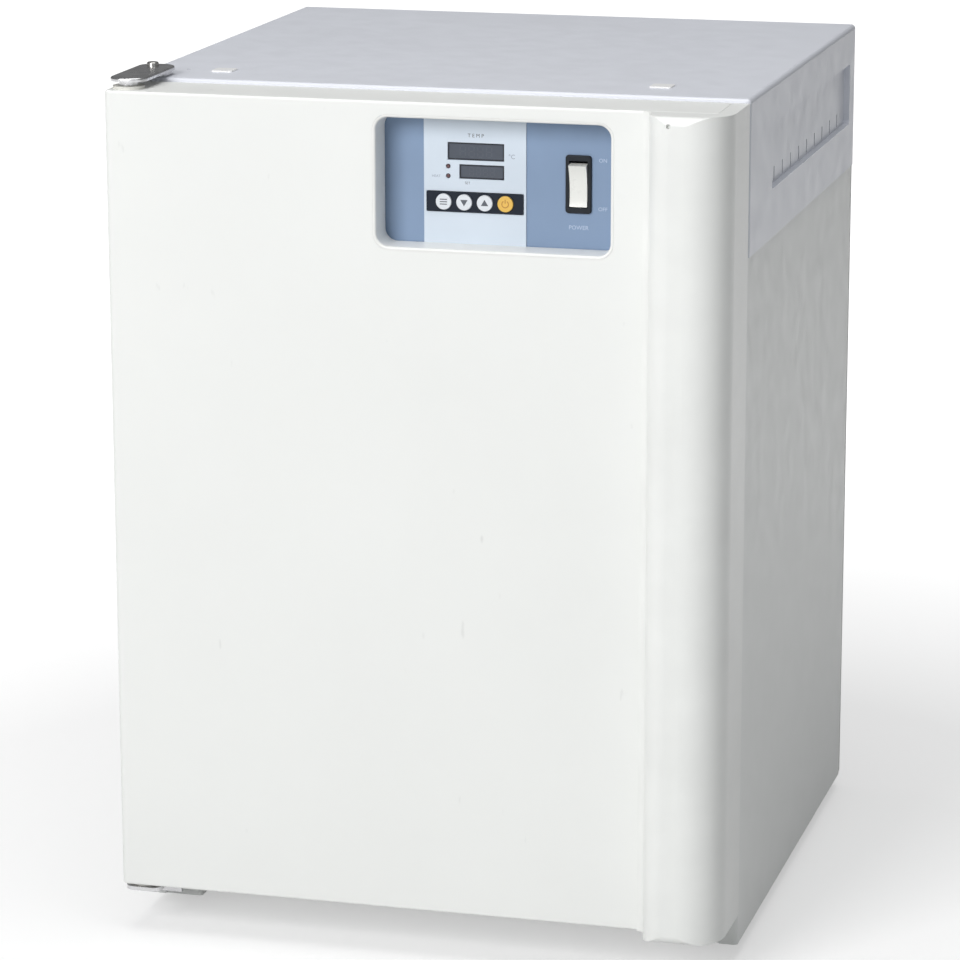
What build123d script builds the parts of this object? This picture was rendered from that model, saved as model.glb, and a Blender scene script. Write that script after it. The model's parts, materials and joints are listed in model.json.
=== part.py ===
"""Bench-top laboratory incubator with a front door, an inner glass door and a control panel behind a window.

X runs to the right of someone facing the door, Y to the back and Z up, in millimetres.
The origin is the middle of the footprint, on the surface that the feet stand on.
"""

import os

from build123d import *

os.makedirs("parts", exist_ok=True)

# Driving dimensions of the chamber and the walls around it
CHAMBER_W = 300.0
CHAMBER_H = 320.0
CHAMBER_D = 295.0
SIDE_WALL = 50.0
BACK_WALL = 57.0
FLOOR_WALL = 48.0
CEILING_WALL = 46.0
CONTROL_H = 110.0
LINER_T = 1.0
LINER_R = 6.0

# Cabinet
SHEET = 1.2
FLANGE = 12.0
COVER_R = 3.0
COVER_LIP = 5.0
SKIRT_H = 98.0
SKIRT_LAP = 8.0
FOOT_H = 10.0
FOOT_R = 14.0
FOOT_INSET = 40.0
KICK_H = 20.0
KICK_D = 40.0
POST_W = 34.0

# Pressed vent recess in each skirt
RECESS_DEPTH = 4.0
RECESS_H = 44.0
RECESS_DROP = 24.0
RECESS_FRONT = 70.0
RECESS_BACK = 20.0
VENT_W = 2.5
VENT_H = 9.0
VENT_PITCH = 28.0

# Door
DOOR_T = 45.0
DOOR_GAP = 3.0
SKIN_R = 4.0
SKIN_EDGE_R = 1.5
SKIN_INSET = 10.0
DOOR_LINER_T = 1.5
PULL_W = 50.0
PULL_PROUD = 22.0
PULL_CORNER_R = 26.0
PULL_SHOULDER_R = 14.0
PULL_TOE_R = 6.0
PULL_TOE_T = 0.8
PULL_WALL = 2.5
PULL_CAP_T = 7.0
PULL_CAP_R = 5.5
PULL_HOLE_R = 1.4
SEAL_W = 11.0
SEAL_MARGIN = 4.0
SEAL_LIP = 2.0

# Outer hinge
HINGE_GAP = 2.0
HINGE_INSET = 12.0
HINGE_BACK = 14.0
HINGE_PIN_R = 4.0
HINGE_PLATE_T = 2.5
HINGE_PLATE_W = 24.0
HINGE_LIFT = 3.0
HINGE_COLLAR_R = 6.0
HINGE_REACH = 24.0
HINGE_LEAF_T = 3.0
HINGE_ENGAGE = 18.0
BUSH_R = 7.0
BUSH_FLANGE_R = 10.0

# Window in the door and the control panel behind it
WINDOW_W = 148.0
WINDOW_H = 80.0
WINDOW_R = 8.0
WINDOW_X = 50.0
WINDOW_DROP = 10.0
BEZEL_WALL = 2.0
BEZEL_GAP = 1.0
PANEL_DEPTH = 22.0
FASCIA_LAP_X = 18.0
FASCIA_LAP_TOP = 6.0
FASCIA_LAP_BOTTOM = 12.0
FASCIA_WALL = 2.5
FASCIA_R = 4.0
OVERLAY_W = 65.0
OVERLAY_X = -16.5
OVERLAY_T = 0.8
LENS_T = 1.6
LENS_W = 36.0
LENS_H = 11.0
SMALL_LENS_W = 28.5
SMALL_LENS_H = 9.0
LENS_RIGHT = 1.9
LENS_DROP = 22.5
SMALL_LENS_DROP = 35.0
LAMP_R = 1.2
LAMP_X = 20.0
LAMP_PITCH = 6.0
BAND_W = 62.0
BAND_H = 13.0
BAND_T = 1.6
BAND_DROP = 54.0
KEY_R = 5.0
KEY_PITCH = 13.1
KEY_H = 1.6
KEY_TRAVEL = 0.8
STEM_R = 2.2
SWITCH_X = 49.0
SWITCH_DROP = 40.0
SWITCH_W = 16.3
SWITCH_H = 36.0
SWITCH_RIM = 1.5
ROCKER_W = 11.0
ROCKER_H = 26.0
ROCKER_TILT = 7.0
ROCKER_PIVOT = 4.0
ROCKER_PROUD = 7.5
ROCKER_DISH = 2.3
ROCKER_BACK = 4.0
ROCKER_SWEEP = 1.5

# Inner glass door
GLASS_RECESS = 18.0
GLASS_T = 5.0
GLASS_LAP = 11.0
GLASS_R = 5.0
POCKET_MARGIN = 15.0
CHAMBER_SEAL_T = 3.0
CHAMBER_SEAL_W = 4.0
GLASS_PIN_R = 2.5
GLASS_PIN_INSET = 3.0
GLASS_PLATE_T = 2.5
GLASS_PLATE_W = 27.0
GLASS_PLATE_H = 24.0
KNOB_R = 11.0
KNOB_T = 9.0
KNOB_INSET = 21.0

# Chamber fittings
POST_DEPTH = 5.0
POST_BREADTH = 14.0
POST_SHEET = 1.0
POST_FRONT = 45.0
POST_BACK = 45.0
POST_END = 12.0
SLOT_PITCH = 20.0
SLOT_W = 8.0
SLOT_H = 4.0
SHELF_LEVELS = (4, 9)
SHELF_GAP = 4.0
SHELF_FRONT = 20.0
SHELF_BACK = 15.0
SHELF_BAR_T = 2.5
SHELF_BAR_H = 8.0
WIRE_R = 1.5
WIRE_COUNT = 14
CLIP_T = 1.5
CLIP_REACH = 12.0
FLOOR_PLATE_H = 22.0
FLOOR_SLOT_L = 26.0
FLOOR_SLOT_W = 5.0
HEATER_R = 4.0
HEATER_BEND = 28.0
HEATER_LIFT = 7.0
PROBE_R = 3.0
PROBE_L = 70.0
PORT_R = 14.0
PORT_WALL = 2.0
PORT_FLANGE_W = 5.0
PORT_FLANGE_T = 1.5
PORT_RISE = 170.0
STOPPER_L = 30.0
STOPPER_HEAD_R = 18.0
STOPPER_HEAD_T = 6.5

# Electrics
INLET_W = 27.0
INLET_H = 20.0
INLET_D = 18.0
INLET_INSET = 60.0
INLET_FLANGE_T = 2.0
INLET_FLANGE_W = 10.0
INLET_FLANGE_H = 3.0
INLET_WALL = 1.5
BLADE_PITCH = 7.0
BLADE_W = 2.0
BLADE_H = 5.0
BLADE_DROP = 1.5
INLET_RISE = 45.0
BOARD_T = 1.6
BOARD_W = 150.0
BOARD_D = 110.0
BOARD_INSET = 60.0
BOARD_EDGE = 10.0
RELAY = (22.0, 30.0, 20.0)
TERMINALS = (50.0, 12.0, 14.0)
CAPACITOR_R = 7.0
CAPACITOR_H = 18.0
CORE = (42.0, 36.0, 34.0)
COIL_INSET = 9.0
COIL_PROUD = 7.0
COIL_H = 22.0
SPACER_H = 8.0
SPACER_R = 3.0
REAR_VENT_X = 60.0

# Small fasteners and plugs
PLUG_W = 14.0
PLUG_D = 14.0
PLUG_T = 0.9
PLUG_LEFT = 50.0
PLUG_RIGHT = 64.0
PILOT_R = 1.1
PILOT_INSET = 26.0
PLUG_BACK = 40.0
SCREW_R = 2.0
SCREW_HEAD_R = 3.8
SCREW_HEAD_T = 2.4
SCREW_L = 9.0

# Clearances
FIT = 0.2
SLIP = 0.3
RUN = 0.05
PAD_GAP = 0.6

# Levels, from the floor up
z_case = FOOT_H
z_front = z_case + KICK_H
z_door = z_front + HINGE_GAP
z_floor = z_front + FLOOR_WALL
z_ceiling = z_floor + CHAMBER_H
z_tray = z_ceiling + CEILING_WALL
z_top = z_tray + CONTROL_H
z_door_top = z_top - HINGE_GAP
z_seam = z_top - SKIRT_H

# Places from front to back
case_d = GLASS_RECESS + CHAMBER_D + BACK_WALL
total_d = PULL_PROUD + DOOR_T + DOOR_GAP + case_d + PORT_FLANGE_T + STOPPER_HEAD_T
y_pull = -total_d / 2
y_face = y_pull + PULL_PROUD
y_inner = y_face + DOOR_T
y_case = y_inner + DOOR_GAP
y_frame = y_case + SHEET
y_lip = y_case + GLASS_RECESS
y_chamber = y_lip + CHAMBER_D
y_back = y_case + case_d

# Places from the middle to the sides
x_case = CHAMBER_W / 2 + SIDE_WALL
x_panel = x_case - SHEET
x_room = x_panel - 2 * SHEET - FIT
x_mouth = CHAMBER_W / 2
x_pocket = x_mouth + POCKET_MARGIN
x_skin = x_case - SKIN_INSET
x_flank = x_case - PULL_W
z_pocket = (z_floor - POCKET_MARGIN, z_ceiling + POCKET_MARGIN)

# The window and the fascia that lies behind it
z_window = z_door_top - WINDOW_DROP
window_x = (WINDOW_X - WINDOW_W / 2, WINDOW_X + WINDOW_W / 2)
window_z = (z_window - WINDOW_H, z_window)
fascia_x = (window_x[0] - FASCIA_LAP_X, window_x[1] + FASCIA_LAP_X)
fascia_z = (window_z[0] - FASCIA_LAP_BOTTOM, window_z[1] + FASCIA_LAP_TOP)
y_fascia = y_face + PANEL_DEPTH
y_overlay = y_fascia - OVERLAY_T
overlay_x = WINDOW_X + OVERLAY_X


# The two plugs in the cover
plug_x = (-x_case + PLUG_LEFT, x_case - PLUG_RIGHT)
plug_y = y_case + PLUG_BACK

# Screws that several sheets share: through the hinge's top plate, and round the rear panel
hinge_screw_at = (-x_case + HINGE_PLATE_W * 0.45, y_case + HINGE_REACH * 0.6)
leaf_screw_x = (-x_case + HINGE_PLATE_W * 0.3, -x_case + HINGE_PLATE_W * 0.8)
leaf_screw_z = (z_case + z_front) / 2 + 1
rear_screw_x = x_panel - FLANGE / 2
rear_screw_ends = (z_case + KICK_H, z_top - 3 * FLANGE)
rear_screw_z = (rear_screw_ends[0], sum(rear_screw_ends) / 2, rear_screw_ends[1])
rear_screw_places = [(x, z) for x in (-rear_screw_x, rear_screw_x) for z in rear_screw_z]


def middle(span):
    """Return the middle of a (low, high) pair."""
    return (span[0] + span[1]) / 2


def grown(span, margin):
    """Return a (low, high) pair moved outwards by a margin on both sides."""
    return (span[0] - margin, span[1] + margin)


def block(x, y, z, mode=Mode.ADD):
    """Add the box that spans three (low, high) pairs to the part being built."""
    with Locations((middle(x), middle(y), middle(z))):
        Box(x[1] - x[0], y[1] - y[0], z[1] - z[0], mode=mode)


def panel(x, z, radius=0.0, mode=Mode.ADD):
    """Draw a rectangle over two (low, high) pairs, with rounded corners if a radius is given."""
    with Locations((middle(x), middle(z))):
        if radius:
            RectangleRounded(x[1] - x[0], z[1] - z[0], radius, mode=mode)
        else:
            Rectangle(x[1] - x[0], z[1] - z[0], mode=mode)


def facing(y):
    """Return the upright plane at a distance along Y, drawn as someone facing the door sees it."""
    return Plane.XZ.offset(-y)


def pin(x, y, z, radius, mode=Mode.ADD):
    """Add an upright round bar over the (low, high) pair z."""
    with Locations((x, y, middle(z))):
        Cylinder(radius, z[1] - z[0], mode=mode)


def rod(x, z, y, radius, mode=Mode.ADD):
    """Add a round bar that runs from front to back over the (low, high) pair y."""
    with Locations(Location((x, middle(y), z), (90, 0, 0))):
        Cylinder(radius, y[1] - y[0], mode=mode)


# Top cover: a folded shell with open front, back and underside
with BuildPart() as top_cover:
    with BuildSketch(Plane.XY.offset(z_seam)):
        panel((-x_case, x_case), (y_case, y_back - SHEET))
    extrude(amount=SKIRT_H)
    fillet(top_cover.edges().filter_by(Axis.Z), radius=COVER_R)
    fillet(top_cover.faces().sort_by(Axis.Z)[-1].edges(), radius=COVER_R)
    offset(amount=-SHEET, openings=top_cover.faces().sort_by(Axis.Z)[0])
    cover_open_x = (-x_case + FLANGE, x_case - FLANGE)
    block(cover_open_x, (y_case - 1, y_case + COVER_R), (z_seam - 1, z_top - COVER_LIP), Mode.SUBTRACT)
    block(
        cover_open_x, (y_back - SHEET - COVER_R, y_back), (z_seam - 1, z_top - FLANGE), Mode.SUBTRACT
    )
    recess_y = (y_case + RECESS_FRONT, y_back - RECESS_BACK)
    recess_z = (z_top - RECESS_DROP - RECESS_H, z_top - RECESS_DROP)
    vent_z = recess_z[0] + VENT_H / 2 + VENT_W
    vent_count = int((recess_y[1] - recess_y[0] - VENT_PITCH) / VENT_PITCH)
    for side in (-1, 1):
        skirt = Plane.YZ.offset(side * x_case)
        with BuildSketch(skirt):
            panel(recess_y, recess_z, RECESS_DEPTH)
        extrude(amount=-side * (RECESS_DEPTH + SHEET))
        with BuildSketch(skirt):
            panel(grown(recess_y, -SHEET), grown(recess_z, -SHEET), RECESS_DEPTH - SHEET)
        extrude(amount=-side * RECESS_DEPTH, mode=Mode.SUBTRACT)
        with BuildSketch(skirt):
            with Locations((middle(recess_y), vent_z)):
                with GridLocations(VENT_PITCH, 1, vent_count, 1):
                    Rectangle(VENT_W, VENT_H)
        extrude(amount=-side * 2 * (RECESS_DEPTH + SHEET), mode=Mode.SUBTRACT)
    for x in plug_x:
        block(
            grown((x, x), PLUG_W / 2 - 2),
            grown((plug_y, plug_y), PLUG_D / 2 - 2),
            (z_top - 2 * SHEET, z_top + 1),
            Mode.SUBTRACT,
        )
    pin(-x_case + PILOT_INSET, plug_y, (z_top - 2 * SHEET, z_top), PILOT_R, Mode.SUBTRACT)
    pin(*hinge_screw_at, (z_top - 2 * SHEET, z_top), SCREW_R + SLIP, Mode.SUBTRACT)
    for x, z in rear_screw_places:
        rod(x, z, (y_back - 3 * SHEET, y_back), SCREW_R + SLIP, Mode.SUBTRACT)
top_cover.part.label = "top_cover"
export_step(top_cover.part, "parts/top_cover.step")

# Two snap-in plugs in the cover, near its front edge
with BuildPart() as cover_plugs:
    for x in plug_x:
        with BuildSketch(Plane.XY.offset(z_top)):
            with Locations((x, plug_y)):
                RectangleRounded(PLUG_W, PLUG_D, 2)
        extrude(amount=PLUG_T)
        with BuildSketch(Plane.XY.offset(z_top)):
            with Locations((x, plug_y)):
                Rectangle(PLUG_W - 4 - 2 * FIT, PLUG_D - 4 - 2 * FIT)
        extrude(amount=-3 * SHEET)
    fillet(cover_plugs.faces().group_by(Axis.Z)[-1].edges(), radius=PLUG_T / 2)
cover_plugs.part.label = "cover_plugs"
export_step(cover_plugs.part, "parts/cover_plugs.step")

# Side panels: bent sheets with a flange at the front and one at the back, lapped behind the cover's skirt
for side, side_name in ((-1, "side_panel_left"), (1, "side_panel_right")):
    outer = side * (x_panel - SHEET / 2)
    inner = side * (x_panel - FLANGE)
    with BuildPart() as side_panel:
        with BuildSketch(Plane.XY.offset(z_case)):
            with BuildLine():
                FilletPolyline(
                    (inner, y_frame - SHEET / 2),
                    (outer, y_frame - SHEET / 2),
                    (outer, y_back - 1.5 * SHEET),
                    (inner, y_back - 1.5 * SHEET),
                    radius=1.5 * SHEET,
                )
            trace(line_width=SHEET)
        extrude(amount=z_seam - FIT - z_case)
        lap = (x_panel - SHEET, x_panel) if side > 0 else (-x_panel, -x_panel + SHEET)
        block(lap, (y_case + FLANGE, y_back - FLANGE), (z_seam - SHEET, z_seam + SKIRT_LAP))
        for x, z in rear_screw_places:
            rod(x, z, (y_back - 3 * SHEET, y_back), SCREW_R + SLIP, Mode.SUBTRACT)
        if side < 0:
            for x in leaf_screw_x:
                rod(x, leaf_screw_z, (y_case - 1, y_case + 2 * SHEET), SCREW_R + SLIP, Mode.SUBTRACT)
    side_panel.part.label = side_name
    export_step(side_panel.part, f"parts/{side_name}.step")

foot_x = x_case - FOOT_INSET
foot_y = (y_case + KICK_D + FOOT_R + 8, y_back - FOOT_INSET)
foot_places = [(x, y) for x in (-foot_x, foot_x) for y in foot_y]

# Base pan: a tray whose front wall steps back between two corner posts
with BuildPart() as base_pan:
    with BuildSketch(Plane.XY.offset(z_case)):
        panel((-x_room, x_room), (y_frame + FIT, y_back - 2 * SHEET - FIT))
        panel((-x_room + POST_W, x_room - POST_W), (y_frame, y_case + KICK_D), mode=Mode.SUBTRACT)
    extrude(amount=KICK_H - FIT)
    fillet(base_pan.edges().filter_by(Axis.Z), radius=2 * SHEET)
    offset(amount=-SHEET, openings=base_pan.faces().sort_by(Axis.Z)[-1])
    for x, y in foot_places:
        pin(x, y, (z_case - 1, z_case + 2 * SHEET), SCREW_R + SLIP, Mode.SUBTRACT)
    for x in leaf_screw_x:
        rod(x, leaf_screw_z, (y_case, y_case + 4 * SHEET), SCREW_R + SLIP, Mode.SUBTRACT)
base_pan.part.label = "base_pan"
export_step(base_pan.part, "parts/base_pan.step")

# Four rubber feet, tapered, each with a screw in its recess
with BuildPart() as feet:
    with BuildSketch(Plane.XY.offset(z_case)):
        with Locations(*foot_places):
            Circle(FOOT_R)
    extrude(amount=-FOOT_H, taper=10)
    fillet(feet.faces().group_by(Axis.Z)[0].edges(), radius=1.5)
    for x, y in foot_places:
        pin(x, y, (-1, z_case / 2), SCREW_HEAD_R + 2 * SLIP, Mode.SUBTRACT)
        pin(x, y, (-1, z_case + 1), SCREW_R + SLIP, Mode.SUBTRACT)
feet.part.label = "feet"
export_step(feet.part, "parts/feet.step")

with BuildPart() as foot_screws:
    for x, y in foot_places:
        pin(x, y, (z_case / 2 - SCREW_HEAD_T, z_case / 2), SCREW_HEAD_R)
        pin(x, y, (z_case / 2, z_case + SCREW_L / 2), SCREW_R)
foot_screws.part.label = "foot_screws"
export_step(foot_screws.part, "parts/foot_screws.step")

# Front frame: the cabinet's face, with a folded pocket round the chamber's mouth and a port behind the fascia
glass_half = x_mouth + GLASS_LAP
glass_z = (z_floor - GLASS_LAP, z_ceiling + GLASS_LAP)
glass_y = (y_lip - CHAMBER_SEAL_T - GLASS_T, y_lip - CHAMBER_SEAL_T)
glass_pivot = (-glass_half + GLASS_PIN_INSET, middle(glass_y))
wiring_x = grown(window_x, -BEZEL_WALL * 3)
wiring_z = grown(window_z, -BEZEL_WALL * 2)
with BuildPart() as front_frame:
    with BuildSketch(facing(y_frame)):
        panel((-x_room, x_room), (z_front, z_top - COVER_R - FIT))
        panel((-x_pocket, x_pocket), z_pocket, mode=Mode.SUBTRACT)
        panel(wiring_x, wiring_z, FASCIA_R, Mode.SUBTRACT)
    extrude(amount=-SHEET)
    with BuildSketch(facing(y_frame)):
        panel((-x_pocket - SHEET, x_pocket + SHEET), grown(z_pocket, SHEET))
        panel((-x_pocket, x_pocket), z_pocket, mode=Mode.SUBTRACT)
    extrude(amount=-(y_lip - y_frame))
    block((-x_room, x_room), (y_frame, y_case + KICK_D + 3 * SHEET), (z_front, z_front + SHEET))
    for z in z_pocket:
        pin(*glass_pivot, grown((z, z), 2 * SHEET), GLASS_PIN_R + RUN, Mode.SUBTRACT)
front_frame.part.label = "front_frame"
export_step(front_frame.part, "parts/front_frame.step")

# Rear panel: a flat sheet with a louvred zone for the electrics, the inlet's cut-out and the cable port
inlet_x = -x_case + INLET_INSET
inlet_z = z_tray + INLET_RISE
port_z = z_floor + PORT_RISE
rear_z = (z_case + FIT, z_top - COVER_R)
with BuildPart() as rear_panel:
    with BuildSketch(facing(y_back - SHEET)):
        panel((-x_panel, x_panel), rear_z, 2 * SHEET)
        with Locations((inlet_x, inlet_z)):
            Rectangle(INLET_W, INLET_H, mode=Mode.SUBTRACT)
        with Locations((0, port_z)):
            Circle(PORT_R + PORT_WALL + FIT, mode=Mode.SUBTRACT)
        with Locations((REAR_VENT_X, z_tray + CONTROL_H / 2)):
            with GridLocations(34, 9, 4, 5):
                SlotOverall(26, 4, mode=Mode.SUBTRACT)
        with Locations(*rear_screw_places):
            Circle(SCREW_R + SLIP, mode=Mode.SUBTRACT)
    extrude(amount=-SHEET)
rear_panel.part.label = "rear_panel"
export_step(rear_panel.part, "parts/rear_panel.step")

with BuildPart() as rear_screws:
    for x, z in rear_screw_places:
        rod(x, z, (y_back, y_back + SCREW_HEAD_T), SCREW_HEAD_R)
        rod(x, z, (y_back - 2 * SHEET - FIT, y_back), SCREW_R)
    fillet(rear_screws.faces().group_by(Axis.Y)[-1].edges(), radius=SCREW_HEAD_T / 2)
rear_screws.part.label = "rear_screws"
export_step(rear_screws.part, "parts/rear_screws.step")

# Chamber liner: a stainless box with an outward lip round its mouth
with BuildPart() as chamber_liner:
    with BuildSketch(facing(y_lip)):
        panel(grown((-x_mouth, x_mouth), LINER_T), grown((z_floor, z_ceiling), LINER_T), LINER_R + LINER_T)
    extrude(amount=-(CHAMBER_D + LINER_T))
    with BuildSketch(facing(y_lip)):
        panel((-x_pocket - SHEET, x_pocket + SHEET), grown(z_pocket, SHEET))
    extrude(amount=-LINER_T)
    with BuildSketch(facing(y_lip)):
        panel((-x_mouth, x_mouth), (z_floor, z_ceiling), LINER_R)
    extrude(amount=-CHAMBER_D, mode=Mode.SUBTRACT)
    rod(0, port_z, (y_chamber - 1, y_chamber + 2 * LINER_T), PORT_R + PORT_WALL + FIT, Mode.SUBTRACT)
chamber_liner.part.label = "chamber_liner"
export_step(chamber_liner.part, "parts/chamber_liner.step")

# Insulation between the liner and the case
with BuildPart() as cabinet_insulation:
    block(
        (-x_room + PAD_GAP, x_room - PAD_GAP),
        (y_frame + SHEET + PAD_GAP, y_back - 2 * SHEET - PAD_GAP),
        (z_front + SHEET + PAD_GAP, z_tray - FIT),
    )
    pocket_half = x_pocket + SHEET + PAD_GAP
    liner_half = x_mouth + LINER_T + PAD_GAP
    pocket_hole_z = grown(z_pocket, SHEET + PAD_GAP)
    block((-pocket_half, pocket_half), (y_case, y_lip + LINER_T + PAD_GAP), pocket_hole_z, Mode.SUBTRACT)
    block(
        (-liner_half, liner_half),
        (y_lip, y_chamber + LINER_T + PAD_GAP),
        grown((z_floor, z_ceiling), LINER_T + PAD_GAP),
        Mode.SUBTRACT,
    )
    rod(0, port_z, (y_chamber, y_back), PORT_R + PORT_WALL + PAD_GAP, Mode.SUBTRACT)
    for z in z_pocket:
        pin(*glass_pivot, grown((z, z), 10), 2 * GLASS_PIN_R, Mode.SUBTRACT)
cabinet_insulation.part.label = "cabinet_insulation"
export_step(cabinet_insulation.part, "parts/cabinet_insulation.step")

# Silicone seal on the liner's lip, which the glass door closes on
with BuildPart() as chamber_seal:
    with BuildSketch(facing(y_lip - CHAMBER_SEAL_T + FIT)):
        seal_in = 1 + CHAMBER_SEAL_W
        panel((-x_mouth - seal_in, x_mouth + seal_in), grown((z_floor, z_ceiling), seal_in), 8)
        panel((-x_mouth - 1, x_mouth + 1), grown((z_floor, z_ceiling), 1), LINER_R, Mode.SUBTRACT)
    extrude(amount=-(CHAMBER_SEAL_T - FIT))
    fillet(chamber_seal.faces().sort_by(Axis.Y)[0].edges(), radius=1)
chamber_seal.part.label = "chamber_seal"
export_step(chamber_seal.part, "parts/chamber_seal.step")

# Inner glass door with its pivots, knob and strike
knob_at = (glass_half - KNOB_INSET, middle(glass_z))
with BuildPart() as inner_glass:
    with BuildSketch(facing(glass_y[0])):
        panel((-glass_half, glass_half), glass_z, GLASS_R)
        with Locations(knob_at):
            Circle(SCREW_R + SLIP, mode=Mode.SUBTRACT)
    extrude(amount=-GLASS_T)
    chamfer(inner_glass.faces().sort_by(Axis.Y)[0].outer_wire().edges(), length=0.6)
inner_glass.part.label = "inner_glass"
export_step(inner_glass.part, "parts/inner_glass.step")

# Pivot clamps at the glass door's two left corners, each with its pin
clamp_x = (-glass_half, -glass_half + GLASS_PLATE_W)
with BuildPart() as glass_pivots:
    for up, edge, wall in ((-1, glass_z[0], z_pocket[0]), (1, glass_z[1], z_pocket[1])):
        tip = edge + up * GLASS_PLATE_T
        block(clamp_x, (glass_y[0] - GLASS_PLATE_T, glass_y[0]), sorted((tip, edge - up * GLASS_PLATE_H)))
        block(clamp_x, glass_y, sorted((tip, edge)))
        pin(*glass_pivot, sorted((tip, wall + up * 3 * SHEET)), GLASS_PIN_R)
    inner_corners = glass_pivots.edges().filter_by(Axis.Y).group_by(Axis.X)[-1]
    fillet(inner_corners.filter_by(lambda e: glass_z[0] < e.center().Z < glass_z[1]), radius=2)
glass_pivots.part.label = "glass_pivots"
export_step(glass_pivots.part, "parts/glass_pivots.step")

with BuildPart() as glass_knob:
    with BuildSketch(facing(glass_y[0])):
        with Locations(knob_at):
            Circle(KNOB_R - 3)
    extrude(amount=KNOB_T / 3)
    with BuildSketch(facing(glass_y[0] - KNOB_T / 3)):
        with Locations(knob_at):
            Circle(KNOB_R)
    extrude(amount=2 * KNOB_T / 3)
    fillet(glass_knob.faces().sort_by(Axis.Y)[0].edges(), radius=2)
    rod(*knob_at, (glass_y[0], glass_y[1] + 1), SCREW_R)
    rod(*knob_at, (glass_y[1], glass_y[1] + 3), 2 * SCREW_R)
glass_knob.part.label = "glass_knob"
export_step(glass_knob.part, "parts/glass_knob.step")

strike_x = (x_mouth + 1 + CHAMBER_SEAL_W + 1, x_pocket - 1.5)
strike_z = grown((middle(glass_z), middle(glass_z)), 18)
with BuildPart() as glass_magnet:
    block(strike_x, (glass_y[1] + FIT, y_lip), strike_z)
glass_magnet.part.label = "glass_magnet"
export_step(glass_magnet.part, "parts/glass_magnet.step")

with BuildPart() as glass_strike:
    block((knob_at[0] + KNOB_R, glass_half), (glass_y[0] - SHEET, glass_y[0]), strike_z)
    fillet(glass_strike.edges().filter_by(Axis.Y), radius=2)
glass_strike.part.label = "glass_strike"
export_step(glass_strike.part, "parts/glass_strike.step")

# Shelf posts: slotted channels on the chamber's side walls
post_z = (z_floor + FLOOR_PLATE_H + POST_END, z_ceiling - POST_END)
post_y = (y_lip + POST_FRONT, y_chamber - POST_BACK)
slot_count = int((post_z[1] - post_z[0]) / SLOT_PITCH)
x_web = x_mouth - FIT - POST_DEPTH
post_half = (POST_BREADTH - POST_SHEET) / 2
with BuildPart() as shelf_posts:
    for side in (-1, 1):
        for y in post_y:
            wall_x = side * (x_mouth - FIT)
            web_x = side * (x_web + POST_SHEET / 2)
            with BuildSketch(Plane.XY.offset(post_z[0])):
                with BuildLine():
                    Polyline(
                        (wall_x, y - post_half),
                        (web_x, y - post_half),
                        (web_x, y + post_half),
                        (wall_x, y + post_half),
                    )
                trace(line_width=POST_SHEET)
            extrude(amount=post_z[1] - post_z[0])
    with BuildSketch(Plane.YZ.offset(-x_mouth)):
        for y in post_y:
            with Locations((y, post_z[0] + slot_count * SLOT_PITCH / 2)):
                with GridLocations(1, SLOT_PITCH, 1, slot_count):
                    Rectangle(SLOT_W, SLOT_H)
    extrude(amount=2 * x_mouth, mode=Mode.SUBTRACT)
shelf_posts.part.label = "shelf_posts"
export_step(shelf_posts.part, "parts/shelf_posts.step")

# Shelf clips hook into the posts, and the wire shelves rest on them
first_slot = post_z[0] + SLOT_PITCH / 2
shelf_z = [first_slot + level * SLOT_PITCH + CLIP_T / 2 for level in SHELF_LEVELS]
with BuildPart() as shelf_clips:
    for z in shelf_z:
        for side in (-1, 1):
            for y in post_y:
                tab_x = sorted((side * (x_web + POST_SHEET + 1), side * (x_web - CLIP_REACH)))
                hook_x = sorted((side * (x_web + POST_SHEET + FIT), side * (x_web + POST_SHEET + 1 + FIT)))
                lug_x = sorted((side * x_web, side * (x_web - CLIP_T)))
                block(tab_x, grown((y, y), SLOT_W / 2 - 3 * FIT), (z - CLIP_T, z))
                block(hook_x, grown((y, y), SLOT_W / 2 - 3 * FIT), (z - CLIP_T, z + SLOT_H))
                block(lug_x, grown((y, y), SLOT_W / 2 - 3 * FIT), (z - SLOT_PITCH / 2, z))
shelf_clips.part.label = "shelf_clips"
export_step(shelf_clips.part, "parts/shelf_clips.step")

shelf_half = x_web - SHELF_GAP
shelf_y = (y_lip + SHELF_FRONT, y_chamber - SHELF_BACK)
shelf_third = (shelf_y[1] - shelf_y[0]) / 3
wire_step = (2 * shelf_half - 2 * SHELF_BAR_T) / (WIRE_COUNT + 1)
for z, shelf_name in zip(shelf_z, ("shelf_lower", "shelf_upper")):
    with BuildPart() as shelf:
        with BuildSketch(Plane.XY.offset(z)):
            panel((-shelf_half, shelf_half), shelf_y, 4 * SHELF_BAR_T)
            panel(
                (-shelf_half + SHELF_BAR_T, shelf_half - SHELF_BAR_T),
                grown(shelf_y, -SHELF_BAR_T),
                3 * SHELF_BAR_T,
                Mode.SUBTRACT,
            )
        extrude(amount=SHELF_BAR_H)
        wire_z = z + SHELF_BAR_H - WIRE_R
        for i in range(WIRE_COUNT):
            x = -shelf_half + SHELF_BAR_T + (i + 1) * wire_step
            rod(x, wire_z, grown(shelf_y, -SHELF_BAR_T / 2), WIRE_R)
        brace_x = (-shelf_half + SHELF_BAR_T / 2, shelf_half - SHELF_BAR_T / 2)
        for y in (shelf_y[0] + shelf_third, shelf_y[1] - shelf_third):
            block(brace_x, grown((y, y), SHELF_BAR_T / 2), (z, wire_z - WIRE_R / 2))
    shelf.part.label = shelf_name
    export_step(shelf.part, f"parts/{shelf_name}.step")

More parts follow.
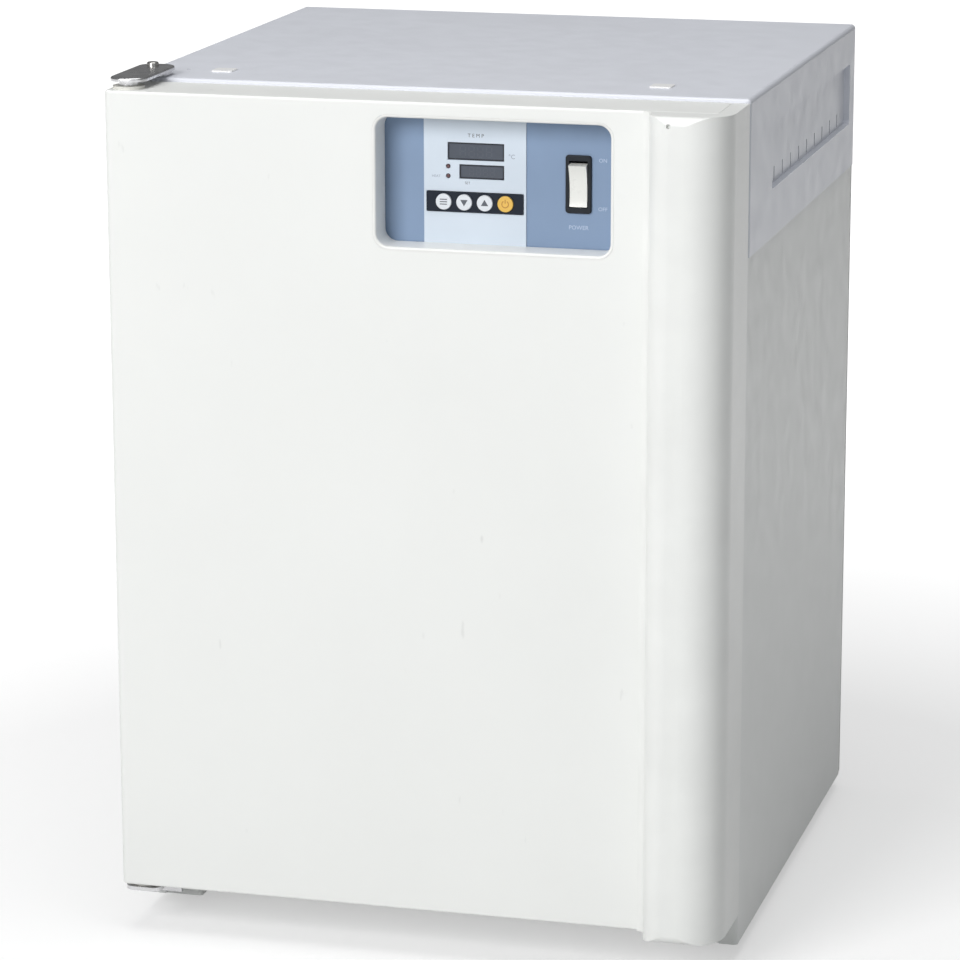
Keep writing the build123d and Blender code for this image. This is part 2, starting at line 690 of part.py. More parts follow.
# Perforated floor plate on two legs, over the heater
plate_half = x_mouth - LINER_R
with BuildPart() as floor_plate:
    with BuildSketch(facing(y_lip + 2 * SHELF_GAP)):
        with BuildLine():
            FilletPolyline(
                (-plate_half + SHEET / 2, z_floor),
                (-plate_half + SHEET / 2, z_floor + FLOOR_PLATE_H - SHEET / 2),
                (plate_half - SHEET / 2, z_floor + FLOOR_PLATE_H - SHEET / 2),
                (plate_half - SHEET / 2, z_floor),
                radius=2 * SHEET,
            )
        trace(line_width=SHEET)
    extrude(amount=-(CHAMBER_D - 4 * SHELF_GAP))
    with BuildSketch(Plane.XY.offset(z_floor + FLOOR_PLATE_H + 1)):
        with Locations((0, middle((y_lip, y_chamber)))):
            with GridLocations(2 * FLOOR_SLOT_L * 0.8, 6 * FLOOR_SLOT_W, 6, 8):
                SlotOverall(FLOOR_SLOT_L, FLOOR_SLOT_W)
    extrude(amount=-SHEET - 2, mode=Mode.SUBTRACT)
floor_plate.part.label = "floor_plate"
export_step(floor_plate.part, "parts/floor_plate.step")

# Tubular heater bent back and forth under the floor plate, with its saddles
heater_z = z_floor + HEATER_LIFT + HEATER_R
heater_y = (y_lip + 35, y_chamber - 45)
heater_x = [-3 * HEATER_BEND, -HEATER_BEND, HEATER_BEND, 3 * HEATER_BEND]
with BuildPart() as heater:
    with BuildLine() as heater_path:
        FilletPolyline(
            (heater_x[0], y_chamber, heater_z),
            (heater_x[0], heater_y[0], heater_z),
            (heater_x[1], heater_y[0], heater_z),
            (heater_x[1], heater_y[1], heater_z),
            (heater_x[2], heater_y[1], heater_z),
            (heater_x[2], heater_y[0], heater_z),
            (heater_x[3], heater_y[0], heater_z),
            (heater_x[3], y_chamber, heater_z),
            radius=HEATER_BEND - 0.5,
        )
    with BuildSketch(Plane.XZ.offset(-y_chamber)):
        with Locations((heater_x[0], heater_z)):
            Circle(HEATER_R)
    sweep()
heater.part.label = "heater"
export_step(heater.part, "parts/heater.step")

with BuildPart() as heater_saddles:
    for y in (heater_y[0] + HEATER_BEND + 20, heater_y[1] - HEATER_BEND - 20):
        block((heater_x[0] - 15, heater_x[3] + 15), (y - 6, y + 6), (z_floor, z_floor + HEATER_LIFT - RUN))
heater_saddles.part.label = "heater_saddles"
export_step(heater_saddles.part, "parts/heater_saddles.step")

# Sensing probes on the chamber's back wall
for x, radius, probe_name in ((60, PROBE_R, "control_probe"), (85, PROBE_R * 0.7, "limit_probe")):
    with BuildPart() as probe:
        probe_z = z_ceiling - 30
        rod(x, probe_z, (y_chamber - PROBE_L, y_chamber), radius)
        rod(x, probe_z, (y_chamber - 8, y_chamber), 2.2 * radius)
        fillet(probe.faces().sort_by(Axis.Y)[0].edges(), radius=0.8 * radius)
    probe.part.label = probe_name
    export_step(probe.part, f"parts/{probe_name}.step")

# Cable port through the back wall, with its stopper
with BuildPart() as cable_port:
    rod(0, port_z, (y_chamber, y_back + PORT_FLANGE_T), PORT_R + PORT_WALL)
    rod(0, port_z, (y_back, y_back + PORT_FLANGE_T), PORT_R + PORT_WALL + PORT_FLANGE_W)
    rod(0, port_z, (y_chamber - 1, y_back + PORT_FLANGE_T + 1), PORT_R, Mode.SUBTRACT)
cable_port.part.label = "cable_port"
export_step(cable_port.part, "parts/cable_port.step")

y_port = y_back + PORT_FLANGE_T
with BuildPart() as port_stopper:
    with BuildSketch(facing(y_port)):
        with Locations((0, port_z)):
            Circle(PORT_R - SLIP)
    extrude(amount=STOPPER_L, taper=3)
    with BuildSketch(facing(y_port)):
        with Locations((0, port_z)):
            Circle(STOPPER_HEAD_R)
    extrude(amount=-STOPPER_HEAD_T)
    fillet(port_stopper.faces().sort_by(Axis.Y)[-1].edges(), radius=2)
port_stopper.part.label = "port_stopper"
export_step(port_stopper.part, "parts/port_stopper.step")

# Instrument tray and the electrics on it
with BuildPart() as instrument_tray:
    with BuildSketch(Plane.YZ.offset(-x_room + PAD_GAP)):
        with BuildLine():
            FilletPolyline(
                (y_frame + SHEET + FIT + SHEET / 2, z_tray + FLANGE),
                (y_frame + SHEET + FIT + SHEET / 2, z_tray + SHEET / 2),
                (y_back - 2 * SHEET - FIT - SHEET / 2, z_tray + SHEET / 2),
                (y_back - 2 * SHEET - FIT - SHEET / 2, z_tray + FLANGE),
                radius=1.5 * SHEET,
            )
        trace(line_width=SHEET)
    extrude(amount=2 * (x_room - PAD_GAP))
instrument_tray.part.label = "instrument_tray"
export_step(instrument_tray.part, "parts/instrument_tray.step")

board_x = (-BOARD_W / 2, BOARD_W / 2)
board_y = (y_back - BOARD_INSET - BOARD_D, y_back - BOARD_INSET)
board_z = z_tray + SHEET + SPACER_H
with BuildPart() as board_spacers:
    for x in grown(board_x, -8):
        for y in grown(board_y, -8):
            pin(x, y, (z_tray + SHEET, board_z), SPACER_R)
board_spacers.part.label = "board_spacers"
export_step(board_spacers.part, "parts/board_spacers.step")

with BuildPart() as power_board:
    board_top = board_z + BOARD_T
    block(board_x, board_y, (board_z, board_top))
    part_x = board_x[0] + BOARD_EDGE
    relay_y = board_y[0] + BOARD_EDGE
    terminal_y = board_y[1] - BOARD_EDGE / 2
    block((part_x, part_x + RELAY[0]), (relay_y, relay_y + RELAY[1]), (board_top, board_top + RELAY[2]))
    block(
        (part_x, part_x + TERMINALS[0]),
        (terminal_y - TERMINALS[1], terminal_y),
        (board_top, board_top + TERMINALS[2]),
    )
    for i in (1, 2):
        capacitor_x = part_x + RELAY[0] + i * 2.5 * CAPACITOR_R
        pin(capacitor_x, relay_y + RELAY[1] / 2, (board_top, board_top + CAPACITOR_H), CAPACITOR_R)
power_board.part.label = "power_board"
export_step(power_board.part, "parts/power_board.step")

with BuildPart() as transformer:
    core_x = (board_x[1] - BOARD_EDGE - CORE[0], board_x[1] - BOARD_EDGE)
    core_y = grown((middle(board_y), middle(board_y)), CORE[1] / 2)
    coil_z = grown((board_top + CORE[2] / 2, board_top + CORE[2] / 2), COIL_H / 2)
    block(core_x, core_y, (board_top, board_top + CORE[2]))
    block(grown(core_x, -COIL_INSET), grown(core_y, COIL_PROUD), coil_z)
transformer.part.label = "transformer"
export_step(transformer.part, "parts/transformer.step")

# Mains inlet: a flanged socket with three blades
with BuildPart() as mains_inlet:
    socket_x = grown((inlet_x, inlet_x), INLET_W / 2)
    socket_z = grown((inlet_z, inlet_z), INLET_H / 2)
    with BuildSketch(facing(y_back)):
        panel(grown(socket_x, INLET_FLANGE_W), grown(socket_z, INLET_FLANGE_H), INLET_FLANGE_H)
    extrude(amount=-INLET_FLANGE_T)
    with BuildSketch(facing(y_back)):
        panel(grown(socket_x, -FIT), grown(socket_z, -FIT))
    extrude(amount=INLET_D)
    with BuildSketch(facing(y_back + INLET_FLANGE_T)):
        panel(grown(socket_x, -INLET_WALL), grown(socket_z, -INLET_WALL))
    extrude(amount=INLET_D + INLET_FLANGE_T - INLET_WALL, mode=Mode.SUBTRACT)
    blade_y = (y_back - INLET_D + INLET_WALL / 2, y_back - 1)
    for x, z in ((-BLADE_PITCH, -BLADE_DROP), (BLADE_PITCH, -BLADE_DROP), (0, 2 * BLADE_DROP)):
        blade_x = grown((inlet_x + x, inlet_x + x), BLADE_W / 2)
        block(blade_x, blade_y, grown((inlet_z + z, inlet_z + z), BLADE_H / 2))
mains_inlet.part.label = "mains_inlet"
export_step(mains_inlet.part, "parts/mains_inlet.step")

# Outer door skin: a pan with the window cut through it and a bush hole at each end of the hinge line
hinge_x = -x_case + HINGE_INSET
hinge_y = y_face + HINGE_BACK
bezel_x = grown(window_x, BEZEL_WALL)
bezel_z = grown(window_z, BEZEL_WALL)
with BuildPart() as door_skin:
    with BuildSketch(facing(y_face)):
        panel((-x_case, x_skin), (z_door, z_door_top))
    extrude(amount=-DOOR_T)
    fillet(door_skin.edges().filter_by(Axis.Z).group_by(Axis.Y)[0], radius=SKIN_R)
    fillet(door_skin.faces().sort_by(Axis.Y)[0].edges().filter_by(Axis.X), radius=SKIN_EDGE_R)
    offset(amount=-SHEET, openings=door_skin.faces().sort_by(Axis.Y)[-1])
    with BuildSketch(facing(y_face)):
        panel(bezel_x, bezel_z, WINDOW_R + BEZEL_WALL)
    extrude(amount=-2 * SHEET, mode=Mode.SUBTRACT)
    for z in (z_door, z_door_top):
        pin(hinge_x, hinge_y, grown((z, z), 2 * SHEET), BUSH_R + FIT, Mode.SUBTRACT)
door_skin.part.label = "door_skin"
export_step(door_skin.part, "parts/door_skin.step")

# Window bezel: a sleeve that lines the window from the door's face to just short of the fascia
with BuildPart() as window_bezel:
    with BuildSketch(facing(y_face)):
        panel(grown(bezel_x, -FIT / 2), grown(bezel_z, -FIT / 2), WINDOW_R + BEZEL_WALL)
        panel(window_x, window_z, WINDOW_R, Mode.SUBTRACT)
    extrude(amount=-(PANEL_DEPTH - BEZEL_GAP))
    fillet(window_bezel.faces().sort_by(Axis.Y)[0].inner_wires()[0].edges(), radius=BEZEL_WALL * 0.7)
window_bezel.part.label = "window_bezel"
export_step(window_bezel.part, "parts/window_bezel.step")

# Door liner, notched at its top for the fascia, and the insulation in front of it
notch_x = (fascia_x[0] - 8, fascia_x[1] + 8)
notch_z = fascia_z[0] - 5
liner_x = (-x_case + SHEET + FIT, x_skin - SHEET - FIT)
liner_z = (z_door + SHEET + FIT, z_door_top - SHEET - FIT)
with BuildPart() as door_liner:
    with BuildSketch(facing(y_inner - DOOR_LINER_T)):
        panel(liner_x, liner_z, SKIN_EDGE_R)
        panel(notch_x, (notch_z, z_door_top), mode=Mode.SUBTRACT)
    extrude(amount=-DOOR_LINER_T)
door_liner.part.label = "door_liner"
export_step(door_liner.part, "parts/door_liner.step")

bush_z = (z_door + HINGE_ENGAGE + 4, z_door_top - HINGE_ENGAGE - 4)
with BuildPart() as door_insulation:
    pad_y = (y_face + SHEET + PAD_GAP, y_inner - DOOR_LINER_T - FIT)
    with BuildSketch(facing(pad_y[0])):
        panel(grown(liner_x, -2), grown(liner_z, -FIT))
        panel(grown(notch_x, 1), (notch_z - 1, z_door_top), mode=Mode.SUBTRACT)
    extrude(amount=-(pad_y[1] - pad_y[0]))
    for z in (z_door, z_door_top):
        pin(hinge_x, hinge_y, grown((z, z), HINGE_ENGAGE + 8), BUSH_R + SLIP, Mode.SUBTRACT)
door_insulation.part.label = "door_insulation"
export_step(door_insulation.part, "parts/door_insulation.step")

# Magnetic seal round the door, which closes on the front frame
seal_y = (y_inner, y_frame - FIT)
with BuildPart() as door_seal:
    with BuildSketch(facing(y_inner)):
        seal_out = SEAL_MARGIN + SEAL_W
        panel(grown((-x_pocket, x_pocket), seal_out), grown(z_pocket, seal_out), SEAL_W)
        panel(grown((-x_pocket, x_pocket), SEAL_MARGIN), grown(z_pocket, SEAL_MARGIN), 4, Mode.SUBTRACT)
    extrude(amount=-(seal_y[1] - seal_y[0]))
    fillet(door_seal.faces().sort_by(Axis.Y)[-1].edges(), radius=SEAL_LIP)
door_seal.part.label = "door_seal"
export_step(door_seal.part, "parts/door_seal.step")


# The pull's section: its toe on the door's face, its shoulder and its rounded corner
x_toe = x_flank - PULL_TOE_R
y_toe = y_face - PULL_TOE_T - PULL_TOE_R
shoulder_at = (x_flank + PULL_SHOULDER_R, y_pull + PULL_SHOULDER_R)
corner_at = (x_case - PULL_CORNER_R, y_pull + PULL_CORNER_R)
with BuildSketch() as pull_outline:
    with BuildLine():
        Line((x_toe, y_face), (x_toe, y_face - PULL_TOE_T))
        CenterArc((x_toe, y_toe), PULL_TOE_R, 0, 90)
        Line((x_flank, y_toe), (x_flank, shoulder_at[1]))
        CenterArc(shoulder_at, PULL_SHOULDER_R, 180, 90)
        Line((shoulder_at[0], y_pull), (corner_at[0], y_pull))
        CenterArc(corner_at, PULL_CORNER_R, 270, 90)
        Polyline(
            (x_case, corner_at[1]),
            (x_case, y_inner),
            (x_skin + FIT, y_inner),
            (x_skin + FIT, y_face),
            (x_toe, y_face),
        )
    make_face()

# The hollow of the same section, one wall inside it and open to the door
with BuildSketch() as pull_hollow:
    with BuildLine():
        Line((x_flank + PULL_WALL, y_face), (x_flank + PULL_WALL, shoulder_at[1]))
        CenterArc(shoulder_at, PULL_SHOULDER_R - PULL_WALL, 180, 90)
        Line((shoulder_at[0], y_pull + PULL_WALL), (corner_at[0], y_pull + PULL_WALL))
        CenterArc(corner_at, PULL_CORNER_R - PULL_WALL, 270, 90)
        Polyline(
            (x_case - PULL_WALL, corner_at[1]),
            (x_case - PULL_WALL, y_inner - PULL_WALL),
            (x_skin + FIT, y_inner - PULL_WALL),
            (x_skin + FIT, y_face),
            (x_flank + PULL_WALL, y_face),
        )
    make_face()

# Pull: one hollow profile over the door's whole height, which also forms the door's right corner
with BuildPart() as door_pull:
    with BuildSketch(Plane.XY.offset(z_door + PULL_CAP_T)):
        add(pull_outline.sketch_local)
        add(pull_hollow.sketch_local, mode=Mode.SUBTRACT)
    extrude(amount=z_door_top - z_door - 2 * PULL_CAP_T)
door_pull.part.label = "door_pull"
export_step(door_pull.part, "parts/door_pull.step")

# Caps that close the pull's two ends, rounded over at the front, with a small hole in the upper one
with BuildPart() as pull_caps:
    for z in (z_door, z_door_top - PULL_CAP_T):
        with BuildSketch(Plane.XY.offset(z)):
            add(pull_outline.sketch_local)
        extrude(amount=PULL_CAP_T)
    with BuildSketch(Plane.YZ.offset(x_toe)):
        panel((y_pull, y_inner + 2 * PULL_CAP_R), (z_door, z_door_top), PULL_CAP_R)
    extrude(amount=x_case - x_toe, mode=Mode.INTERSECT)
    hole_z = z_door_top - PULL_CAP_R
    rod(shoulder_at[0], hole_z, (y_pull, y_pull + PULL_WALL), PULL_HOLE_R, Mode.SUBTRACT)
pull_caps.part.label = "pull_caps"
export_step(pull_caps.part, "parts/pull_caps.step")

# Flanged bushes at both ends of the hinge line, and the brackets whose pins turn in them
with BuildPart() as hinge_bushes:
    for up, end in ((-1, z_door), (1, z_door_top)):
        pin(hinge_x, hinge_y, sorted((end, end - up * (HINGE_ENGAGE + 4))), BUSH_R)
        pin(hinge_x, hinge_y, sorted((end, end + up * (HINGE_GAP - FIT))), BUSH_FLANGE_R)
        pin(hinge_x, hinge_y, grown((end, end), HINGE_ENGAGE + 1), HINGE_PIN_R + RUN, Mode.SUBTRACT)
hinge_bushes.part.label = "hinge_bushes"
export_step(hinge_bushes.part, "parts/hinge_bushes.step")

plate_x = (-x_case + 1, -x_case + 1 + HINGE_PLATE_W)
plate_z = z_top + HINGE_LIFT
with BuildPart() as top_hinge:
    with BuildSketch(Plane.XY.offset(plate_z)):
        panel(plate_x, (y_face + 3, y_case + HINGE_REACH), HINGE_PLATE_W * 0.42)
    extrude(amount=HINGE_PLATE_T)
    fillet(top_hinge.faces().sort_by(Axis.Z)[-1].edges(), radius=HINGE_PLATE_T * 0.45)
    with BuildSketch(Plane.XY.offset(z_top)):
        panel(grown(plate_x, -2), (y_case + COVER_R + 1, y_case + HINGE_REACH - 2), HINGE_PLATE_W * 0.3)
    extrude(amount=HINGE_LIFT)
    pin(hinge_x, hinge_y, (z_top, plate_z), HINGE_COLLAR_R)
    pin(hinge_x, hinge_y, (z_door_top - HINGE_ENGAGE, z_top), HINGE_PIN_R)
    pin(*hinge_screw_at, (z_top - 1, plate_z + 2 * HINGE_PLATE_T), SCREW_R + SLIP, Mode.SUBTRACT)
top_hinge.part.label = "top_hinge"
export_step(top_hinge.part, "parts/top_hinge.step")

with BuildPart() as top_hinge_screw:
    head_z = plate_z + HINGE_PLATE_T
    pin(*hinge_screw_at, (head_z, head_z + SCREW_HEAD_T), SCREW_HEAD_R)
    pin(*hinge_screw_at, (head_z - SCREW_L, head_z), SCREW_R)
    fillet(top_hinge_screw.faces().sort_by(Axis.Z)[-1].edges(), radius=SCREW_HEAD_T / 2)
top_hinge_screw.part.label = "top_hinge_screw"
export_step(top_hinge_screw.part, "parts/top_hinge_screw.step")

leaf_z = (z_case + 3, z_front)
with BuildPart() as bottom_hinge:
    with BuildSketch(Plane.XY.offset(z_front)):
        panel(plate_x, (y_face + 2, y_case), HINGE_PLATE_W * 0.25)
    extrude(amount=-HINGE_PLATE_T)
    block(plate_x, (y_case - HINGE_LEAF_T, y_case), leaf_z)
    pin(hinge_x, hinge_y, (z_front - HINGE_PLATE_T, z_door + HINGE_ENGAGE), HINGE_PIN_R)
    for x in leaf_screw_x:
        rod(x, leaf_screw_z, (y_case - 2 * HINGE_LEAF_T, y_case + 1), SCREW_R + SLIP, Mode.SUBTRACT)
bottom_hinge.part.label = "bottom_hinge"
export_step(bottom_hinge.part, "parts/bottom_hinge.step")

with BuildPart() as bottom_hinge_screws:
    for x in leaf_screw_x:
        y = y_case - HINGE_LEAF_T
        rod(x, leaf_screw_z, (y - SCREW_HEAD_T, y), SCREW_HEAD_R)
        rod(x, leaf_screw_z, (y, y + SCREW_L), SCREW_R)
    fillet(bottom_hinge_screws.faces().group_by(Axis.Y)[0].edges(), radius=SCREW_HEAD_T / 2)
bottom_hinge_screws.part.label = "bottom_hinge_screws"
export_step(bottom_hinge_screws.part, "parts/bottom_hinge_screws.step")

# Control fascia: a moulded box lid that stands forward of the frame into the window
lens_x = (overlay_x + OVERLAY_W / 2 - LENS_RIGHT - 12 - LENS_W, overlay_x + OVERLAY_W / 2 - LENS_RIGHT - 12)
lens_z = grown((z_window - LENS_DROP, z_window - LENS_DROP), LENS_H / 2)
small_lens_x = (lens_x[1] - SMALL_LENS_W, lens_x[1])
small_lens_z = grown((z_window - SMALL_LENS_DROP, z_window - SMALL_LENS_DROP), SMALL_LENS_H / 2)
lamp_x = overlay_x - LAMP_X + 3
lamp_z = (z_window - SMALL_LENS_DROP + LAMP_PITCH / 2, z_window - SMALL_LENS_DROP - LAMP_PITCH / 2)
key_z = z_window - BAND_DROP
key_x = [overlay_x + (i - 1.5) * KEY_PITCH for i in range(4)]
switch_at = (WINDOW_X + SWITCH_X, z_window - SWITCH_DROP)
band_x = grown((overlay_x, overlay_x), BAND_W / 2)
band_z = grown((key_z, key_z), BAND_H / 2)
with BuildPart() as control_fascia:
    with BuildSketch(facing(y_fascia)):
        panel(fascia_x, fascia_z, FASCIA_R)
    extrude(amount=-(y_frame - y_fascia))
    fillet(control_fascia.faces().sort_by(Axis.Y)[0].edges(), radius=1.5)
    offset(amount=-FASCIA_WALL, openings=control_fascia.faces().sort_by(Axis.Y)[-1])
    with BuildSketch(facing(y_fascia - 1)):
        panel(grown(lens_x, -1), grown(lens_z, -1))
        panel(grown(small_lens_x, -1), grown(small_lens_z, -1))
        with Locations(*[(lamp_x, z) for z in lamp_z]):
            Circle(LAMP_R + SLIP)
        with Locations(*[(x, key_z) for x in key_x]):
            Circle(STEM_R + SLIP)
        with Locations(switch_at):
            Rectangle(SWITCH_W - 2 * SWITCH_RIM, SWITCH_H - 2 * SWITCH_RIM)
    extrude(amount=-FASCIA_WALL - 2, mode=Mode.SUBTRACT)
control_fascia.part.label = "control_fascia"
export_step(control_fascia.part, "parts/control_fascia.step")

# Printed overlay on the fascia, with openings for the lenses, the lamps and the key band
with BuildPart() as panel_overlay:
    with BuildSketch(facing(y_fascia)):
        panel(grown((overlay_x, overlay_x), OVERLAY_W / 2), grown(fascia_z, -FASCIA_R))
        panel(lens_x, lens_z, mode=Mode.SUBTRACT)
        panel(small_lens_x, small_lens_z, mode=Mode.SUBTRACT)
        panel(band_x, band_z, mode=Mode.SUBTRACT)
        with Locations(*[(lamp_x, z) for z in lamp_z]):
            Circle(LAMP_R + SLIP, mode=Mode.SUBTRACT)
    extrude(amount=OVERLAY_T)
panel_overlay.part.label = "panel_overlay"
export_step(panel_overlay.part, "parts/panel_overlay.step")

lenses = ((lens_x, lens_z, "display_upper"), (small_lens_x, small_lens_z, "display_lower"))
for span_x, span_z, lens_name in lenses:
    with BuildPart() as display:
        with BuildSketch(facing(y_fascia)):
            panel(grown(span_x, -FIT), grown(span_z, -FIT))
        extrude(amount=OVERLAY_T / 2)
        with BuildSketch(facing(y_fascia)):
            panel(grown(span_x, -1 - FIT), grown(span_z, -1 - FIT))
        extrude(amount=-LENS_T)
    display.part.label = lens_name
    export_step(display.part, f"parts/{lens_name}.step")

with BuildPart() as indicator_lamps:
    for z in lamp_z:
        rod(lamp_x, z, (y_fascia - OVERLAY_T - 0.3, y_fascia + FASCIA_WALL + 3), LAMP_R)
    fillet(indicator_lamps.faces().group_by(Axis.Y)[0].edges(), radius=LAMP_R / 2)
indicator_lamps.part.label = "indicator_lamps"
export_step(indicator_lamps.part, "parts/indicator_lamps.step")

with BuildPart() as key_band:
    with BuildSketch(facing(y_fascia)):
        panel(grown(band_x, -FIT), grown(band_z, -FIT), 1)
        with Locations(*[(x, key_z) for x in key_x]):
            Circle(KEY_R + SLIP, mode=Mode.SUBTRACT)
    extrude(amount=BAND_T)
key_band.part.label = "key_band"
export_step(key_band.part, "parts/key_band.step")

# Keys: round caps on stems that reach the switches on the control board
board_face = y_fascia + FASCIA_WALL + 9
key_y = (y_fascia - KEY_TRAVEL - KEY_H - 0.2, y_fascia - KEY_TRAVEL - 0.2)
for x, key_name in zip(key_x, ("key_menu", "key_down", "key_up", "key_run")):
    with BuildPart() as key:
        rod(x, key_z, key_y, KEY_R)
        fillet(key.faces().sort_by(Axis.Y)[0].edges(), radius=0.5)
        rod(x, key_z, (key_y[1], board_face - 4 - KEY_TRAVEL - 0.2), STEM_R)
    key.part.label = key_name
    export_step(key.part, f"parts/{key_name}.step")

with BuildPart() as control_board:
    control_board_x = (window_x[0] + 4, overlay_x + OVERLAY_W / 2 + 6)
    block(control_board_x, (board_face, board_face + BOARD_T), grown(window_z, -4))
    for x in key_x:
        block(grown((x, x), 3), (board_face - 4, board_face), grown((key_z, key_z), 3))
    for span_x, span_z in ((lens_x, lens_z), (small_lens_x, small_lens_z)):
        block(grown(span_x, -2), (y_fascia + LENS_T + 0.4, board_face), grown(span_z, -2))
    for x in grown(control_board_x, -5):
        for z in grown(window_z, -9):
            rod(x, z, (y_fascia + FASCIA_WALL, board_face), SPACER_R)
control_board.part.label = "control_board"
export_step(control_board.part, "parts/control_board.step")

# Rocker switch: a framed body with a rocker that tips about a level pin
y_rim = y_fascia - SWITCH_RIM
with BuildPart() as switch_body:
    with BuildSketch(facing(y_fascia)):
        with Locations(switch_at):
            RectangleRounded(SWITCH_W, SWITCH_H, 2)
            Rectangle(ROCKER_W + 2 * SLIP, ROCKER_H + 2 * ROCKER_SWEEP, mode=Mode.SUBTRACT)
    extrude(amount=SWITCH_RIM)
    fillet(switch_body.faces().sort_by(Axis.Y)[0].outer_wire().edges(), radius=0.6)
    with BuildSketch(facing(y_fascia)):
        with Locations(switch_at):
            Rectangle(SWITCH_W - 2 * SWITCH_RIM - 2 * FIT, SWITCH_H - 2 * SWITCH_RIM - 2 * FIT)
            Rectangle(ROCKER_W + 2 * SLIP, ROCKER_H + 2 * ROCKER_SWEEP, mode=Mode.SUBTRACT)
    extrude(amount=-20)
    block(
        grown((switch_at[0], switch_at[0]), SWITCH_W / 2 - SWITCH_RIM - FIT),
        (y_fascia + 12, y_fascia + 20),
        grown((switch_at[1], switch_at[1]), SWITCH_H / 2 - SWITCH_RIM - FIT),
    )
switch_body.part.label = "switch_body"
export_step(switch_body.part, "parts/switch_body.step")

# The rocker rests tipped with its lower half pressed in
rocker_at = (switch_at[0] - ROCKER_W / 2, y_fascia + ROCKER_PIVOT, switch_at[1])
tilted = Vector(0, 1, 0).rotate(Axis.X, ROCKER_TILT)
rocker_plane = Plane(origin=rocker_at, x_dir=tilted, z_dir=(1, 0, 0))
with BuildPart() as rocker:
    with BuildSketch(rocker_plane):
        reach = ROCKER_H / 2
        with BuildLine():
            ThreePointArc((-ROCKER_PROUD, reach), (ROCKER_DISH - ROCKER_PROUD, 0), (-ROCKER_PROUD, -reach))
            Polyline(
                (-ROCKER_PROUD, -reach),
                (-1, -reach),
                (ROCKER_BACK, 0),
                (-1, reach),
                (-ROCKER_PROUD, reach),
            )
        make_face()
    extrude(amount=ROCKER_W)
rocker.part.label = "rocker"
export_step(rocker.part, "parts/rocker.step")
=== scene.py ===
"""Looks for a bench-top laboratory incubator: materials, printed marks, small details, studio and camera.

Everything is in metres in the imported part's own frame: X to the right of someone facing the door, Y to the
back, Z up. The part's solids stay where they are, and the pieces made here sit on them.
"""

import json
import math

import bmesh
import bpy
from mathutils import Matrix, Vector


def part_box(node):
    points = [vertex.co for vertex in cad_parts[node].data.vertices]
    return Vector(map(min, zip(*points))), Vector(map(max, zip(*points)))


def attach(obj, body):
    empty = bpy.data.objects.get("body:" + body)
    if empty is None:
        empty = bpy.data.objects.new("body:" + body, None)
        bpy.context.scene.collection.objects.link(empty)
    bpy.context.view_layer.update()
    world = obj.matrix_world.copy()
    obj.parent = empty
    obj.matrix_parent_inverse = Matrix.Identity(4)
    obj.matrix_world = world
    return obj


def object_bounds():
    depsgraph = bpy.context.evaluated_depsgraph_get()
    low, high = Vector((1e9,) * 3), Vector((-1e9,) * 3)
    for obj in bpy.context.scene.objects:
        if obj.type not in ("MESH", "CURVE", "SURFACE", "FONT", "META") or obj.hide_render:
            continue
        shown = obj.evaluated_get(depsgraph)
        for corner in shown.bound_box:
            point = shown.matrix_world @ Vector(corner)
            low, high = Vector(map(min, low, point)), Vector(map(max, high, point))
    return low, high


MM = 0.001
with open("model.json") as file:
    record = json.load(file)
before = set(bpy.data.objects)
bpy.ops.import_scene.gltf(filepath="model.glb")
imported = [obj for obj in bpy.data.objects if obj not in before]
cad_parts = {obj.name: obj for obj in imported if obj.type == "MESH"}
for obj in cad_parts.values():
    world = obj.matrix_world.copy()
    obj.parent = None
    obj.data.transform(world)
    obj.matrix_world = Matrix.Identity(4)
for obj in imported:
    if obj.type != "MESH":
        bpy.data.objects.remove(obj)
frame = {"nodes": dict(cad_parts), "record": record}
cad_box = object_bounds()
NODES = frame["nodes"]


# Node helpers

def new_material(name):
    """Return a material, its node tree and its Principled shader."""
    material = bpy.data.materials.new(name)
    material.use_nodes = True
    tree = material.node_tree
    return material, tree, tree.nodes["Principled BSDF"]


def coordinates(tree, stretch=(1.0, 1.0, 1.0)):
    """Return object coordinates in metres, stretched along each axis."""
    source = tree.nodes.new("ShaderNodeTexCoord")
    mapping = tree.nodes.new("ShaderNodeMapping")
    mapping.inputs["Scale"].default_value = stretch
    tree.links.new(source.outputs["Object"], mapping.inputs["Vector"])
    return mapping.outputs["Vector"]


def noise(tree, vector, per_metre, detail=3.0, roughness=0.5):
    """Return the value of a noise texture with that many features per metre."""
    node = tree.nodes.new("ShaderNodeTexNoise")
    node.inputs["Scale"].default_value = per_metre
    node.inputs["Detail"].default_value = detail
    node.inputs["Roughness"].default_value = roughness
    tree.links.new(vector, node.inputs["Vector"])
    return node.outputs["Fac"]


def spread(tree, value, low, high, start=0.3, end=0.7):
    """Return a value that runs from low to high as the input runs from start to end."""
    node = tree.nodes.new("ShaderNodeMapRange")
    node.inputs["From Min"].default_value = start
    node.inputs["From Max"].default_value = end
    node.inputs["To Min"].default_value = low
    node.inputs["To Max"].default_value = high
    tree.links.new(value, node.inputs["Value"])
    return node.outputs["Result"]


def blend_colours(tree, factor, first, second):
    """Return a colour between two colours, by a factor from 0 to 1."""
    node = tree.nodes.new("ShaderNodeMix")
    node.data_type = "RGBA"
    tree.links.new(factor, node.inputs["Factor"])
    for socket, colour in ((node.inputs[6], first), (node.inputs[7], second)):
        if isinstance(colour, bpy.types.NodeSocket):
            tree.links.new(colour, socket)
        else:
            socket.default_value = (*colour, 1.0)
    return node.outputs[2]


